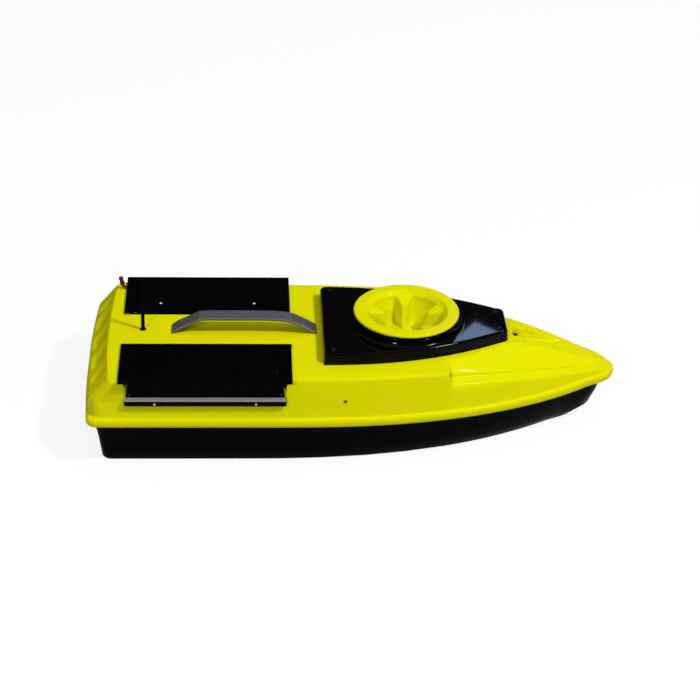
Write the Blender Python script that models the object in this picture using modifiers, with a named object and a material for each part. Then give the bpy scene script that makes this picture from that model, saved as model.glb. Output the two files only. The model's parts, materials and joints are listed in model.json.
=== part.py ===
"""Radio controlled bait boat: a black hull under a yellow deck, two side hoppers that drop their load
over the gunwale, a hatch with a round twist cap, and twin screws in tunnels under the stern.

Metres, +Z up. The bow points along +X and port is +Y. The origin is on the flat bottom, below the
middle of the boat."""

import math

import bmesh
import bpy
import numpy as np
from mathutils import Matrix, Vector

# Overall form
LENGTH = 0.6074  # stern lip to bow tip
BEAM = 0.2440  # across the gunwale lip
HULL_HEIGHT = 0.0490  # flat bottom to the hull's top edge
DECK_HEIGHT = 0.1054  # flat bottom to the flat of the deck
WALL = 0.0025  # moulded wall of the hull, deck and hatch
GAP = 0.0003  # left between pieces that touch
PLAY = 0.0001  # around a turning pin or shaft
MARGIN = 0.004  # how far a cutter runs past the wall it cuts
PLAN_FULLNESS = 2.4  # power of the curve that brings the sides in to the bow
NOSE_BLUNTNESS = 0.8  # power that rounds the nose
NOSE_ROUNDING = 0.17  # taken off that power towards the tip, for a fuller nose
NOSE_START = 0.9  # share of the bow run where the fuller nose starts
STERN_CROWN = 0.005  # how far the stern bows out at the centre line

# Hull, measured in from the gunwale lip
HULL_TOP_INSET = 0.0040
HULL_TOP_BOW_SETBACK = 0.0130
HULL_TOP_STERN_SETBACK = 0.0105
BOTTOM_INSET = 0.0160
BOTTOM_BOW_SETBACK = 0.0530
BOTTOM_STERN_SETBACK = 0.0180
BILGE_INSET = 0.0135
BILGE_RISE = 0.0035
BILGE_BOW_SETBACK = 0.0430
CHINE_RISE = 0.0150
CHINE_INSET = 0.0115
CHINE_BOW_SETBACK = 0.0255
CHINE_STERN_SETBACK = 0.0150
FLARE_RISE = 0.0330
FLARE_INSET = 0.0080
FLARE_BOW_SETBACK = 0.0175
FLARE_STERN_SETBACK = 0.0130
HULL_CORNER = 0.0080
HULL_BOW_RUN = 0.4240  # bow tip back to where the bottom starts to narrow

# Gunwale seal and deck, measured in from the gunwale lip
SEAL_HEIGHT = 0.0010
SEAL_WIDTH = 0.0040
DECK_BOW_RUN = 0.3840  # bow tip back to where the gunwale starts to narrow
LIP_CORNER = 0.0120
LIP_UNDERCUT = 0.0012
LIP_SWELL = 0.0035  # lip's lower edge up to its widest line
LIP_HEIGHT = 0.0090
LIP_TOP_INSET = 0.0015
LIP_WIDTH = 0.0085
WALL_FOOT_INSET = 0.0050
WALL_FOOT_RISE = 0.0105
STERN_EDGE_SHARE = 0.45  # how far up the wall the stern turns forward
STERN_EDGE_SETBACK = 0.0035
SHOULDER_INSET = 0.0130
SHOULDER_DROP = 0.0026
SHOULDER_STERN_SETBACK = 0.0235
SHOULDER_BOW_SETBACK = 0.0060
SHOULDER_CORNER = 0.0140
CREST_INSET = 0.0155
CREST_STERN_SETBACK = 0.0255
CREST_BOW_SETBACK = 0.0110
LEDGE_INSET = 0.0260
LEDGE_BOW_SETBACK = 0.0160
LEDGE_DEPTH = 0.0035  # height of the ledge's inner wall
STEP_X = 0.1035  # where the shoulder steps down to the fore ledge
STEP_DRAFT = 0.0012
CREST_FALL = 0.0010  # how far the crest has sunk when it reaches the step
FALL_START_X = 0.0300
LEDGE_CREST_DROP = 0.0100  # ledge's inner edge below the deck, just past the step
LEDGE_RIDGE_DROP = 0.0170  # ledge's outer edge below the deck, just past the step
NOSE_RISE = 0.0108  # lip's lower edge up to the nose
FORE_POWER = 1.7
PLATEAU_MARGIN = 0.0030  # flat of the deck left around the hatch
PLATEAU_FALL_POWER = 1.25
FLAT_SHOULDER = 0.0060  # crest in to the flat, just past the step
FLAT_EASE = 0.0600  # length over which the flat then draws in to the hatch
TROUGH_START = 0.0130  # hatch's front edge to the trough's rear face
TROUGH_LENGTH = 0.0560
TROUGH_WIDTH = 0.0180
TROUGH_DEPTH = 0.0130

# Hoppers, lids and drop doors
HOPPER_SETBACK = 0.1362  # stern to the middle of the hoppers
LID_LENGTH = 0.1903
LID_INNER_Y = 0.0362
LID_INSET = 0.0025  # gunwale in to the lid's outer edge
LID_THICKNESS = 0.0023
LID_LAP = 0.0060  # how far the lid lies on the deck at each end
LID_HINGE_IN = 0.0024  # lid's inner edge to the hinge axis
LID_KNUCKLE_RADIUS = 0.0018
LID_PIN_RADIUS = 0.0009
LID_KNUCKLE_LENGTH = 0.0160
LID_KNUCKLE_SPACING = 0.1086
LID_LUG_LENGTH = 0.0040
LID_LUG_REACH = 0.0015  # hinge axis in to the lug's face
LID_SKIN = 0.0010  # left of the lid above its notches
BIN_WALL = 0.0020
BIN_END_CLEARANCE = 0.0040  # deck opening to the bin's end
BIN_INNER_DEPTH = 0.0090  # deck down to the bin's floor, at the inner wall
SILL_INSET = 0.0100  # gunwale in to the sill strip
SILL_DROP = 0.0210  # deck down to the sill strip's top
SILL_WIDTH = 0.0072
SILL_THICKNESS = 0.0012
SILL_END_CLEARANCE = 0.0009  # opening's end to the sill strip and the apron
APRON_HEIGHT = 0.0056
SILL_SCREW_SPACING = 0.1110
SILL_SCREW_RADIUS = 0.0016
SILL_SCREW_HEAD = 0.0009
DOOR_THICKNESS = 0.0020
DOOR_LEAN = math.radians(5)
DOOR_KNUCKLE_RADIUS = 0.0016
DOOR_PIN_RADIUS = 0.0008
DOOR_HEAD_ROOM = 0.0022  # door's top edge to the lid
DOOR_END_CLEARANCE = 0.0008
MAGNET_RADIUS = 0.0045
MAGNET_LENGTH = 0.0140
MAGNET_BAY = 0.0125  # length of door that covers the magnet, past the bin's inner space
KEEPER_SIZE = 0.0085
KEEPER_THICKNESS = 0.0010

# Hatch, cap and handle
HATCH_REAR_X = -0.0370
HATCH_LENGTH = 0.2110
HATCH_REAR_HALF = 0.0785
HATCH_FRONT_HALF = 0.0235
HATCH_TAPER_POWER = 2.3
HATCH_HEIGHT = 0.0122
HATCH_EDGE = 0.0022
HATCH_SEAL_WIDTH = 0.0040
HATCH_SEAL_HEIGHT = 0.0012
HATCH_LANDING = 0.0090  # deck left under the hatch's rim
COLLAR_HEIGHT = 0.0073
COLLAR_FOOT = 0.0070  # how far the collar spreads at its foot
CAP_X = 0.0590
CAP_RADIUS = 0.0600
CAP_RIM_THICKNESS = 0.0030
CAP_RIM_FLAT = 0.0130
CAP_BOWL_RADIUS = 0.0425
CAP_BOWL_FLOOR = 0.0320
CAP_BOWL_DEPTH = 0.0360
CAP_DISH = 0.0045
CAP_NECK_RADIUS = 0.0480
CAP_FLOOR = 0.0030
CAP_RIBS = 5
CAP_RIB_DEPTH = 0.0150
CAP_RIB_EDGE = 0.20  # level of the wave round the bowl at which a rib starts
CAP_RIB_CREST = 0.85  # level at which it has its full depth
O_RING_SECTION = 0.0011
HATCH_SCREW_RADIUS = 0.0030
HATCH_SCREW_HEAD = 0.0012
HANDLE_CLEARANCE = 0.0074  # handle's fore end to the hatch
HANDLE_SPAN = 0.1620
HANDLE_TOP_SPAN = 0.0980
HANDLE_RISE = 0.0200
HANDLE_WIDTH = 0.0200
HANDLE_STRAP = 0.0030
HANDLE_FOOT = 0.0140
HANDLE_SCREW_RADIUS = 0.0020
HANDLE_SCREW_HEAD = 0.0035
HANDLE_SCREW_HEAD_HEIGHT = 0.0016

# Antenna, switch and lights
ANTENNA_CLEARANCE = 0.0333  # handle's aft end to the antenna
ANTENNA_RADIUS = 0.0022
ANTENNA_HEIGHT = 0.0660
ANTENNA_BASE_RADIUS = 0.0042
ANTENNA_BASE_HEIGHT = 0.0030
SWITCH_SETBACK = 0.0377  # stern to the switch
SWITCH_INSET = 0.0265  # gunwale in to the switch
SWITCH_BUSH_RADIUS = 0.0028
SWITCH_BUSH_HEIGHT = 0.0030
SWITCH_BODY = (0.0056, 0.0056, 0.0090)
SWITCH_LEVER_RADIUS = 0.0013
SWITCH_KNOB_RADIUS = 0.0020
SWITCH_MOUTH_RADIUS = 0.0023
SWITCH_LEVER_LENGTH = 0.0150  # pivot to the middle of the knob
SWITCH_THROW = math.radians(12)  # lean of the lever to either side
LIGHT_RADIUS = 0.0022
LIGHT_LENGTH = 0.0070
LIGHT_FLANGE = 0.0008
BOW_LIGHT_DROP = 0.0058  # deck down to the lamp in the trough

# Drives, battery and electronics
DRIVE_Y = 0.0520
DRIVE_Z = 0.0200
TUNNEL_RADIUS = 0.0190
TUNNEL_LENGTH = 0.0787  # stern to the tunnel's front wall
PROP_SETBACK = 0.0477  # stern to the middle of the screw
PROP_RADIUS = 0.0155
PROP_HUB_RADIUS = 0.0042
PROP_HUB_LENGTH = 0.0120
PROP_BLADES = 3
PROP_BLADE_THICKNESS = 0.0014
PROP_BLADE_CHORD = 0.0095
PROP_PITCH = math.radians(38)
SHAFT_RADIUS = 0.0020
TUBE_RADIUS = 0.0036
TUBE_LENGTH = 0.0560
TUBE_OVERHANG = 0.0100
COUPLING_RADIUS = 0.0060
COUPLING_LENGTH = 0.0180
MOTOR_RADIUS = 0.0140
MOTOR_LENGTH = 0.0400
MOTOR_BOSS_RADIUS = 0.0050
MOTOR_BOSS_LENGTH = 0.0040
MOTOR_SHAFT_RADIUS = 0.0016
MOTOR_SHAFT_LENGTH = 0.0160
MOUNT_PLATE = 0.0030
MOUNT_WIDTH = 0.1500
MOUNT_FOOT = 0.0260
MOUNT_HEIGHT = 0.0380
BATTERY_SIZE = (0.1050, 0.0640, 0.0380)
BATTERY_X = 0.0450
TRAY_WALL = 0.0020
TRAY_HEIGHT = 0.0160
CONTROL_SIZE = (0.0700, 0.0520, 0.0220)
CONTROL_X = -0.0580

# Finishes: colour, roughness and how metallic
YELLOW_GLOSS = ((0.80, 0.82, 0.004), 0.22, 0.0)
BLACK_HULL = ((0.008, 0.008, 0.009), 0.30, 0.0)
BLACK_GLOSS = ((0.006, 0.006, 0.008), 0.12, 0.0)
BLACK_MATTE = ((0.015, 0.015, 0.016), 0.50, 0.0)
BRUSHED_ALLOY = ((0.55, 0.55, 0.57), 0.38, 1.0)
STEEL = ((0.60, 0.60, 0.60), 0.30, 1.0)
BLACK_STEEL = ((0.020, 0.020, 0.022), 0.35, 1.0)
BRASS = ((0.62, 0.47, 0.20), 0.32, 1.0)
RUBBER = ((0.012, 0.012, 0.012), 0.75, 0.0)
RED_GLOSS = ((0.45, 0.010, 0.012), 0.25, 0.0)
LAMP_LENS = ((0.75, 0.75, 0.72), 0.10, 0.0)
BATTERY_WRAP = ((0.02, 0.06, 0.22), 0.40, 0.0)
MOTOR_CAN = ((0.20, 0.20, 0.21), 0.35, 1.0)

# How finely round shapes are divided
STERN_POINTS = 4
CORNER_POINTS = 6
SIDE_POINTS = 9
BOW_POINTS = 17
ROUND = 24
SMALL_ROUND = 14
CAP_ROUND = 60
HATCH_POINTS = 13
EDGE_SEGMENTS = 2
BOW_SPREAD = 1.5  # power that gathers the outline's points towards the nose
WELD = 1e-6  # points this close are one
SHARP_ANGLE = math.radians(30)
AXIS_MARK = 0.01  # drawn size of a joint's empty

# Tapers, as a share of the wider radius
SCREW_HEAD_TAPER = 0.75
SLIM_TAPER = 0.8  # antenna, its foot and the lamps

# Worked out from the sizes above
BOW_X = LENGTH / 2
STERN_X = -LENGTH / 2
DECK_FOOT_Z = HULL_HEIGHT + 2 * GAP + SEAL_HEIGHT
NOSE_Z = DECK_FOOT_Z + NOSE_RISE
HOPPER_CENTRE_X = STERN_X + HOPPER_SETBACK
LID_OUTER_Y = BEAM / 2 - LID_INSET
SILL_Y = BEAM / 2 - SILL_INSET
HANDLE_CENTRE_X = HATCH_REAR_X - HANDLE_CLEARANCE - HANDLE_SPAN / 2
ANTENNA_X = HANDLE_CENTRE_X - HANDLE_SPAN / 2 - ANTENNA_CLEARANCE
SWITCH_X = STERN_X + SWITCH_SETBACK
SWITCH_Y = BEAM / 2 - SWITCH_INSET
TUNNEL_FRONT_X = STERN_X + TUNNEL_LENGTH
PROP_X = STERN_X + PROP_SETBACK
LID_UNDER_Z = DECK_HEIGHT + GAP
LID_TOP_Z = LID_UNDER_Z + LID_THICKNESS
LID_AXIS_Y = LID_INNER_Y + LID_HINGE_IN
LID_AXIS_Z = LID_UNDER_Z - LID_KNUCKLE_RADIUS + LID_THICKNESS / 2
OPENING_INNER_Y = LID_AXIS_Y - math.hypot(LID_HINGE_IN, LID_TOP_Z - LID_AXIS_Z) - 2 * GAP
OPENING_HALF = LID_LENGTH / 2 - LID_LAP
BIN_HALF = OPENING_HALF - BIN_END_CLEARANCE
SILL_Z = DECK_HEIGHT - SILL_DROP
APRON_TOP_Z = SILL_Z - SILL_THICKNESS - GAP
APRON_FOOT_Z = APRON_TOP_Z - APRON_HEIGHT
DOOR_AXIS_Y = SILL_Y - DOOR_KNUCKLE_RADIUS
DOOR_AXIS_Z = SILL_Z + DOOR_KNUCKLE_RADIUS + 2 * GAP
DOOR_HEIGHT = LID_UNDER_Z - DOOR_HEAD_ROOM - DOOR_AXIS_Z
HATCH_FOOT_Z = DECK_HEIGHT + 2 * GAP + HATCH_SEAL_HEIGHT
HATCH_TOP_Z = HATCH_FOOT_Z + HATCH_HEIGHT
HATCH_FRONT_X = HATCH_REAR_X + HATCH_LENGTH
COLLAR_TOP_Z = HATCH_TOP_Z + COLLAR_HEIGHT
CAP_UNDER_Z = COLLAR_TOP_Z + 2 * O_RING_SECTION + 2 * GAP
CAP_TOP_Z = CAP_UNDER_Z + CAP_RIM_THICKNESS
MOTOR_MOUNT_X = TUNNEL_FRONT_X + TUBE_LENGTH - TUBE_OVERHANG + COUPLING_LENGTH + 2 * MOTOR_BOSS_LENGTH

bpy_collections = {}


def clear_scene():
    for obj in list(bpy.data.objects):
        bpy.data.objects.remove(obj, do_unlink=True)


def collection(name):
    if name not in bpy_collections:
        made = bpy.data.collections.new(name)
        bpy.context.scene.collection.children.link(made)
        bpy_collections[name] = made
    return bpy_collections[name]


def material(name, finish):
    colour, roughness, metallic = finish
    made = bpy.data.materials.new(name)
    made.use_nodes = True
    shader = made.node_tree.nodes["Principled BSDF"]
    shader.inputs["Base Color"].default_value = (*colour, 1.0)
    shader.inputs["Roughness"].default_value = roughness
    shader.inputs["Metallic"].default_value = metallic
    made.diffuse_color = (*colour, 1.0)
    return made


def place(name, mesh, finish=None, smooth=True):
    """An object in the boat's collection, or a hidden cutter where no finish is given."""
    obj = bpy.data.objects.new(name, mesh)
    if finish is None:
        collection("cutters").objects.link(obj)
        obj.hide_render = True
        obj.display_type = "WIRE"
        return obj
    collection("bait_boat").objects.link(obj)
    mesh.materials.append(finish)
    if smooth:
        mesh.shade_smooth()
        mesh.set_sharp_from_angle(angle=SHARP_ANGLE)
    return obj


def mesh_from(name, build):
    """A mesh from a function that fills a bmesh, with its faces turned outwards."""
    shape = bmesh.new()
    build(shape)
    bmesh.ops.recalc_face_normals(shape, faces=shape.faces)
    mesh = bpy.data.meshes.new(name)
    shape.to_mesh(mesh)
    shape.free()
    return mesh


def box(name, low, high, finish=None):
    """A box between two corners, with its origin at its middle."""
    low = Vector(low)
    high = Vector(high)
    size = Matrix.Diagonal((*(high - low), 1.0))
    mesh = mesh_from(name, lambda shape: bmesh.ops.create_cube(shape, size=1.0, matrix=size))
    obj = place(name, mesh, finish)
    obj.location = (low + high) / 2
    return obj


def rod(name, start, end, radius, finish=None, end_radius=None, sides=SMALL_ROUND):
    """A cylinder, or a cone, from one point to another, with its origin half way."""
    start = Vector(start)
    end = Vector(end)
    along = end - start

    def build(shape):
        bmesh.ops.create_cone(
            shape,
            cap_ends=True,
            segments=sides,
            radius1=radius,
            radius2=radius if end_radius is None else end_radius,
            depth=along.length,
        )

    obj = place(name, mesh_from(name, build), finish)
    obj.location = (start + end) / 2
    obj.rotation_euler = Vector((0, 0, 1)).rotation_difference(along).to_euler()
    return obj


def ball(name, centre, radius, finish=None):
    def build(shape):
        bmesh.ops.create_uvsphere(shape, u_segments=SMALL_ROUND, v_segments=SMALL_ROUND // 2, radius=radius)

    obj = place(name, mesh_from(name, build), finish)
    obj.location = centre
    return obj


def plate(name, outline, thickness, frame, finish=None):
    """A flat outline given a thickness on both sides of its plane, then set by a frame matrix."""
    curve = bpy.data.curves.new(name, "CURVE")
    curve.dimensions = "2D"
    curve.fill_mode = "BOTH"
    curve.extrude = thickness / 2
    spline = curve.splines.new("POLY")
    spline.points.add(len(outline) - 1)
    for point, (u, v) in zip(spline.points, outline):
        point.co = (u, v, 0, 1)
    spline.use_cyclic_u = True
    guide = bpy.data.objects.new(name + "_guide", curve)
    bpy.context.scene.collection.objects.link(guide)
    graph = bpy.context.evaluated_depsgraph_get()
    mesh = bpy.data.meshes.new_from_object(guide.evaluated_get(graph))
    bpy.data.objects.remove(guide, do_unlink=True)
    shape = bmesh.new()
    shape.from_mesh(mesh)
    bmesh.ops.remove_doubles(shape, verts=shape.verts, dist=WELD)
    bmesh.ops.recalc_face_normals(shape, faces=shape.faces)
    shape.to_mesh(mesh)
    shape.free()
    mesh.materials.clear()
    mesh.name = name
    obj = place(name, mesh, finish)
    obj.matrix_world = frame
    return obj


def cross_plate(name, outline, x, length, side, finish=None):
    """A prism along x about a middle, from an outline in (y, z) given for the port side."""
    frame = Matrix(((0, 0, 1, x), (1, 0, 0, 0), (0, 1, 0, 0), (0, 0, 0, 1)))
    return plate(name, [(side * y, z) for y, z in outline], length, frame, finish)


def long_plate(name, outline, x, width, finish=None):
    """A prism across the boat on its centre line, from an outline in (x, z) about a middle."""
    frame = Matrix(((1, 0, 0, x), (0, 0, -1, 0), (0, 1, 0, 0), (0, 0, 0, 1)))
    return plate(name, outline, width, frame, finish)


def turned(name, profile, centre, sides, finish=None):
    """A profile of (radius, height) turned round a vertical axis, listed from top to bottom outside."""
    mesh = bpy.data.meshes.new(name)
    points = [(radius, 0, height) for radius, height in profile]
    edges = [(i, i + 1) for i in range(len(points) - 1)]
    if profile[0][0] > 0:
        edges.append((len(points) - 1, 0))
    mesh.from_pydata(points, edges, [])
    obj = place(name, mesh, finish, smooth=False)
    obj.location = centre
    screw = obj.modifiers.new("turn", "SCREW")
    screw.steps = sides
    screw.render_steps = sides
    screw.use_merge_vertices = True
    screw.merge_threshold = WELD
    screw.use_smooth_shade = True
    return obj


def boolean(target, other, operation):
    modifier = target.modifiers.new(other.name, "BOOLEAN")
    modifier.operation = operation
    modifier.object = other
    modifier.solver = "EXACT"


def cut(target, *cutters):
    for cutter in cutters:
        boolean(target, cutter, "DIFFERENCE")


def join(target, *others):
    for other in others:
        boolean(target, other, "UNION")


def pivot(name, point, *pieces):
    """An empty on a joint's axis that carries the pieces that move with it."""
    empty = bpy.data.objects.new(name, None)
    empty.empty_display_size = AXIS_MARK
    empty.location = point
    collection("bait_boat").objects.link(empty)
    bpy.context.view_layer.update()
    for piece in pieces:
        piece.parent = empty
        piece.matrix_parent_inverse = empty.matrix_world.inverted()


def half_breadth(x, half, bow, run):
    """Half the width at x: full width aft, then a power curve in to the nose."""
    start = BOW_X - run
    along = np.clip((x - start) / (bow - start), 0, 1)
    tip = np.clip((along - NOSE_START) / (1 - NOSE_START), 0, 1)
    power = NOSE_BLUNTNESS - NOSE_ROUNDING * tip**2 * (3 - 2 * tip)
    return half * (1 - along**PLAN_FULLNESS) ** power


def plan_line(inset, stern_setback, bow_setback, run, corner):
    """Port half of a plan outline as x and y, from the stern's middle round the corner to the bow tip."""
    half = BEAM / 2 - inset
    bow = BOW_X - bow_setback
    stern = STERN_X + stern_setback
    stern_y = np.linspace(0, half - corner, STERN_POINTS, endpoint=False)
    stern_x = stern + STERN_CROWN * (stern_y / half) ** 2
    turn = np.linspace(0, math.pi / 2, CORNER_POINTS)
    corner_x = stern + STERN_CROWN * (1 - corner / half) ** 2 + corner
    around_x = corner_x - corner * np.cos(turn)
    around_y = half - corner + corner * np.sin(turn)
    aft_x = np.linspace(corner_x, STEP_X, SIDE_POINTS)[1:]
    spread = np.linspace(0, 1, BOW_POINTS)
    fore_x = STEP_X + STEP_DRAFT + (bow - STEP_X - STEP_DRAFT) * (1 - (1 - spread) ** BOW_SPREAD)
    side_x = np.concatenate([aft_x, fore_x])
    side_y = half_breadth(side_x, half, bow, run)
    side_y[-1] = 0
    x = np.concatenate([stern_x, around_x, side_x])
    y = np.concatenate([stern_y, around_y, side_y])
    return x, y


def level(x, y, z):
    return np.stack([x, y, np.broadcast_to(z, x.shape)], axis=1)


def loft(name, levels, finish=None):
    """A closed solid through port half outlines, mirrored to starboard and capped at both ends."""
    count = len(levels[0])
    port = np.concatenate(levels)
    star = port * (1, -1, 1)
    shape = bmesh.new()
    port_verts = [shape.verts.new(p) for p in port]
    on_centre = np.abs(port[:, 1]) < WELD
    star_verts = [p if c else shape.verts.new(s) for p, c, s in zip(port_verts, on_centre, star)]
    for verts in (port_verts, star_verts):
        for k in range(len(levels) - 1):
            for i in range(count - 1):
                a = k * count + i
                b = a + count
                shape.faces.new((verts[a], verts[a + 1], verts[b + 1], verts[b]))
    for first in (0, (len(levels) - 1) * count):
        for i in range(first, first + count - 1):
            ring = [port_verts[i], port_verts[i + 1], star_verts[i + 1], star_verts[i]]
            shape.faces.new(list(dict.fromkeys(ring)))
    bmesh.ops.recalc_face_normals(shape, faces=shape.faces)
    mesh = bpy.data.meshes.new(name)
    shape.to_mesh(mesh)
    shape.free()
    return place(name, mesh, finish)


def hull_levels(wall, floor, top):
    """Plan outlines of the hull from its bottom up, each drawn in by a wall."""

    def line(inset, stern, bow, height):
        x, y = plan_line(inset + wall, stern + wall, bow + wall, HULL_BOW_RUN, HULL_CORNER)
        return level(x, y, height)

    bilge_stern = BOTTOM_STERN_SETBACK - BILGE_RISE / 2
    return [
        line(BOTTOM_INSET, BOTTOM_STERN_SETBACK, BOTTOM_BOW_SETBACK, floor),
        line(BILGE_INSET, bilge_stern, BILGE_BOW_SETBACK, floor + BILGE_RISE),
        line(CHINE_INSET, CHINE_STERN_SETBACK, CHINE_BOW_SETBACK, CHINE_RISE),
        line(FLARE_INSET, FLARE_STERN_SETBACK, FLARE_BOW_SETBACK, FLARE_RISE),
        line(HULL_TOP_INSET, HULL_TOP_STERN_SETBACK, HULL_TOP_BOW_SETBACK, top),
    ]


def make_hull(finish):
    """Open shell with a tunnel for each screw under the stern."""
    hull = loft("hull_shell", hull_levels(0, 0, HULL_HEIGHT), finish)
    hollow = loft("hull_hollow", hull_levels(WALL, WALL, HULL_HEIGHT + MARGIN))
    for side, hand in SIDES:
        cut(hollow, tunnel_solid("tunnel_housing_" + hand, side, WALL))
    cut(hull, hollow)
    for side, hand in SIDES:
        aft = (TUNNEL_FRONT_X - MARGIN, side * DRIVE_Y, DRIVE_Z)
        fore = (TUNNEL_FRONT_X + WALL + MARGIN, side * DRIVE_Y, DRIVE_Z)
        bore = rod("stern_tube_hole_" + hand, aft, fore, TUBE_RADIUS + GAP)
        cut(hull, tunnel_solid("tunnel_" + hand, side, 0), bore)


def tunnel_solid(name, side, wall):
    """Space under a round roof, open to the bottom and the stern, grown by a wall."""
    radius = TUNNEL_RADIUS + wall
    aft_x = STERN_X - MARGIN
    front_x = TUNNEL_FRONT_X + wall
    roof = np.linspace(0, math.pi, ROUND // 2 + 1)
    arch = [(DRIVE_Y + radius * math.cos(a), DRIVE_Z + radius * math.sin(a)) for a in roof]
    foot = -MARGIN
    outline = arch + [(DRIVE_Y - radius, foot), (DRIVE_Y + radius, foot)]
    return cross_plate(name, outline, (aft_x + front_x) / 2, front_x - aft_x, side)


def make_seal(finish):
    """Flat gasket between the hull's top edge and the deck's lip."""
    outer_inset = HULL_TOP_INSET - (SEAL_WIDTH - WALL) / 2
    foot = HULL_HEIGHT + GAP
    run = HULL_BOW_RUN

    def line(wall, height):
        stern = HULL_TOP_STERN_SETBACK + outer_inset - HULL_TOP_INSET + wall
        bow = HULL_TOP_BOW_SETBACK + outer_inset - HULL_TOP_INSET + wall
        x, y = plan_line(outer_inset + wall, stern, bow, run, HULL_CORNER)
        return level(x, y, height)

    seal = loft("gunwale_seal", [line(0, foot), line(0, foot + SEAL_HEIGHT)], finish)
    hole = loft("seal_hole", [line(SEAL_WIDTH, foot - MARGIN), line(SEAL_WIDTH, foot + MARGIN)])
    cut(seal, hole)
    return seal


def aft_fall(x):
    """How far the crest has sunk on its way to the step, from 0 to 1."""
    return np.clip((x - FALL_START_X) / (STEP_X - FALL_START_X), 0, 1) ** 2


def fore_fall(x):
    """How far the fore ledge has come down to the nose, from 0 to 1."""
    return np.clip((x - STEP_X) / (BOW_X - STEP_X), 0, 1) ** FORE_POWER


def falling(x, aft_drop, step_drop):
    """Height of a line that sinks by the crest's fall, steps down, and then runs down to the nose."""
    aft = DECK_HEIGHT - aft_drop - CREST_FALL * aft_fall(x)
    start = DECK_HEIGHT - step_drop
    return np.where(x <= STEP_X, aft, start + (NOSE_Z - start) * fore_fall(x))


def hatch_half(x):
    """Half the hatch's width at x, extended past its ends."""
    along = np.clip((x - HATCH_REAR_X) / HATCH_LENGTH, 0, None)
    narrow = 1 - HATCH_FRONT_HALF / HATCH_REAR_HALF
    return HATCH_REAR_HALF * (1 - narrow * along**HATCH_TAPER_POWER)


def plateau_z(x):
    """Height of the deck's middle: flat past the hatch, then down to the nose."""
    start = HATCH_FRONT_X + PLATEAU_MARGIN
    fall = np.clip((x - start) / (BOW_X - start), 0, 1) ** PLATEAU_FALL_POWER
    return DECK_HEIGHT + (NOSE_Z - DECK_HEIGHT) * fall


def stepped_line(aft, fore, wall):
    """A plan outline that follows one line aft of the step and another forward of it."""
    aft_line = plan_line(*(value + grow * wall for value, grow in zip(aft, PLAN_GROWTH)))
    fore_line = plan_line(*(value + grow * wall for value, grow in zip(fore, PLAN_GROWTH)))
    use_fore = aft_line[0] > STEP_X
    return tuple(np.where(use_fore, f, a) for a, f in zip(aft_line, fore_line))


def deck_top_levels(wall):
    """Outlines of the stern's edge, the shoulder, the ledge, the crest and the flat around the hatch, inside a wall."""
    shoulder = (SHOULDER_INSET, SHOULDER_STERN_SETBACK, SHOULDER_BOW_SETBACK, DECK_BOW_RUN, SHOULDER_CORNER)
    crest = (CREST_INSET, CREST_STERN_SETBACK, CREST_BOW_SETBACK, DECK_BOW_RUN, SHOULDER_CORNER)
    ledge = (LEDGE_INSET, CREST_STERN_SETBACK, LEDGE_BOW_SETBACK, DECK_BOW_RUN, SHOULDER_CORNER)
    root = tuple(np.mean((shoulder, crest), axis=0))
    shoulder_x, shoulder_y = stepped_line(shoulder, shoulder, wall)
    foot = np.array((WALL_FOOT_INSET, WALL_FOOT_INSET, WALL_FOOT_INSET, DECK_BOW_RUN, LIP_CORNER))
    edge = foot + STERN_EDGE_SHARE * (np.array(shoulder) - foot)
    edge[1] = STERN_EDGE_SETBACK
    edge_x, edge_y = stepped_line(edge, edge, wall)
    foot_z = DECK_FOOT_Z + WALL_FOOT_RISE
    shoulder_z = falling(shoulder_x, SHOULDER_DROP, LEDGE_RIDGE_DROP)
    edge_z = foot_z + STERN_EDGE_SHARE * (shoulder_z - foot_z)
    root_x, root_y = stepped_line(root, ledge, wall)
    crest_x, crest_y = stepped_line(crest, ledge, wall)
    use_fore = crest_x > STEP_X
    crest_y = np.where(use_fore, crest_y - STEP_DRAFT * (crest_y > STEP_DRAFT), crest_y)
    flat_y = np.minimum(crest_y - STEP_DRAFT, hatch_half(crest_x) + PLATEAU_MARGIN)
    ease = np.clip((crest_x - STEP_X) / FLAT_EASE, 0, 1)
    wide = crest_y - FLAT_SHOULDER
    eased = wide + (flat_y - wide) * ease
    flat_y = np.where(use_fore, np.maximum(eased, crest_y / 2), flat_y)
    flat_y = np.where(crest_y < 2 * STEP_DRAFT, crest_y * (crest_x > 0), flat_y)
    flat_y[0] = 0
    ledge_fade = LEDGE_DEPTH * (1 - fore_fall(root_x))
    root_drop = np.where(root_x > STEP_X, ledge_fade, SHOULDER_DROP / 2)
    crest_z = falling(crest_x, 0, LEDGE_CREST_DROP)
    flat_z = np.where(use_fore, np.maximum(plateau_z(crest_x), crest_z), DECK_HEIGHT)
    flat_z = np.where((flat_y >= crest_y) & ~use_fore, crest_z, flat_z)
    return [
        level(edge_x, edge_y, edge_z - wall),
        level(shoulder_x, shoulder_y, shoulder_z - wall),
        level(root_x, root_y, falling(root_x, 0, LEDGE_CREST_DROP) - root_drop - wall),
        level(crest_x, crest_y, crest_z - wall),
        level(crest_x, flat_y, flat_z - wall),
    ]


def lip_line(inset):
    return plan_line(inset, inset, inset, DECK_BOW_RUN, LIP_CORNER)


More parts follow.
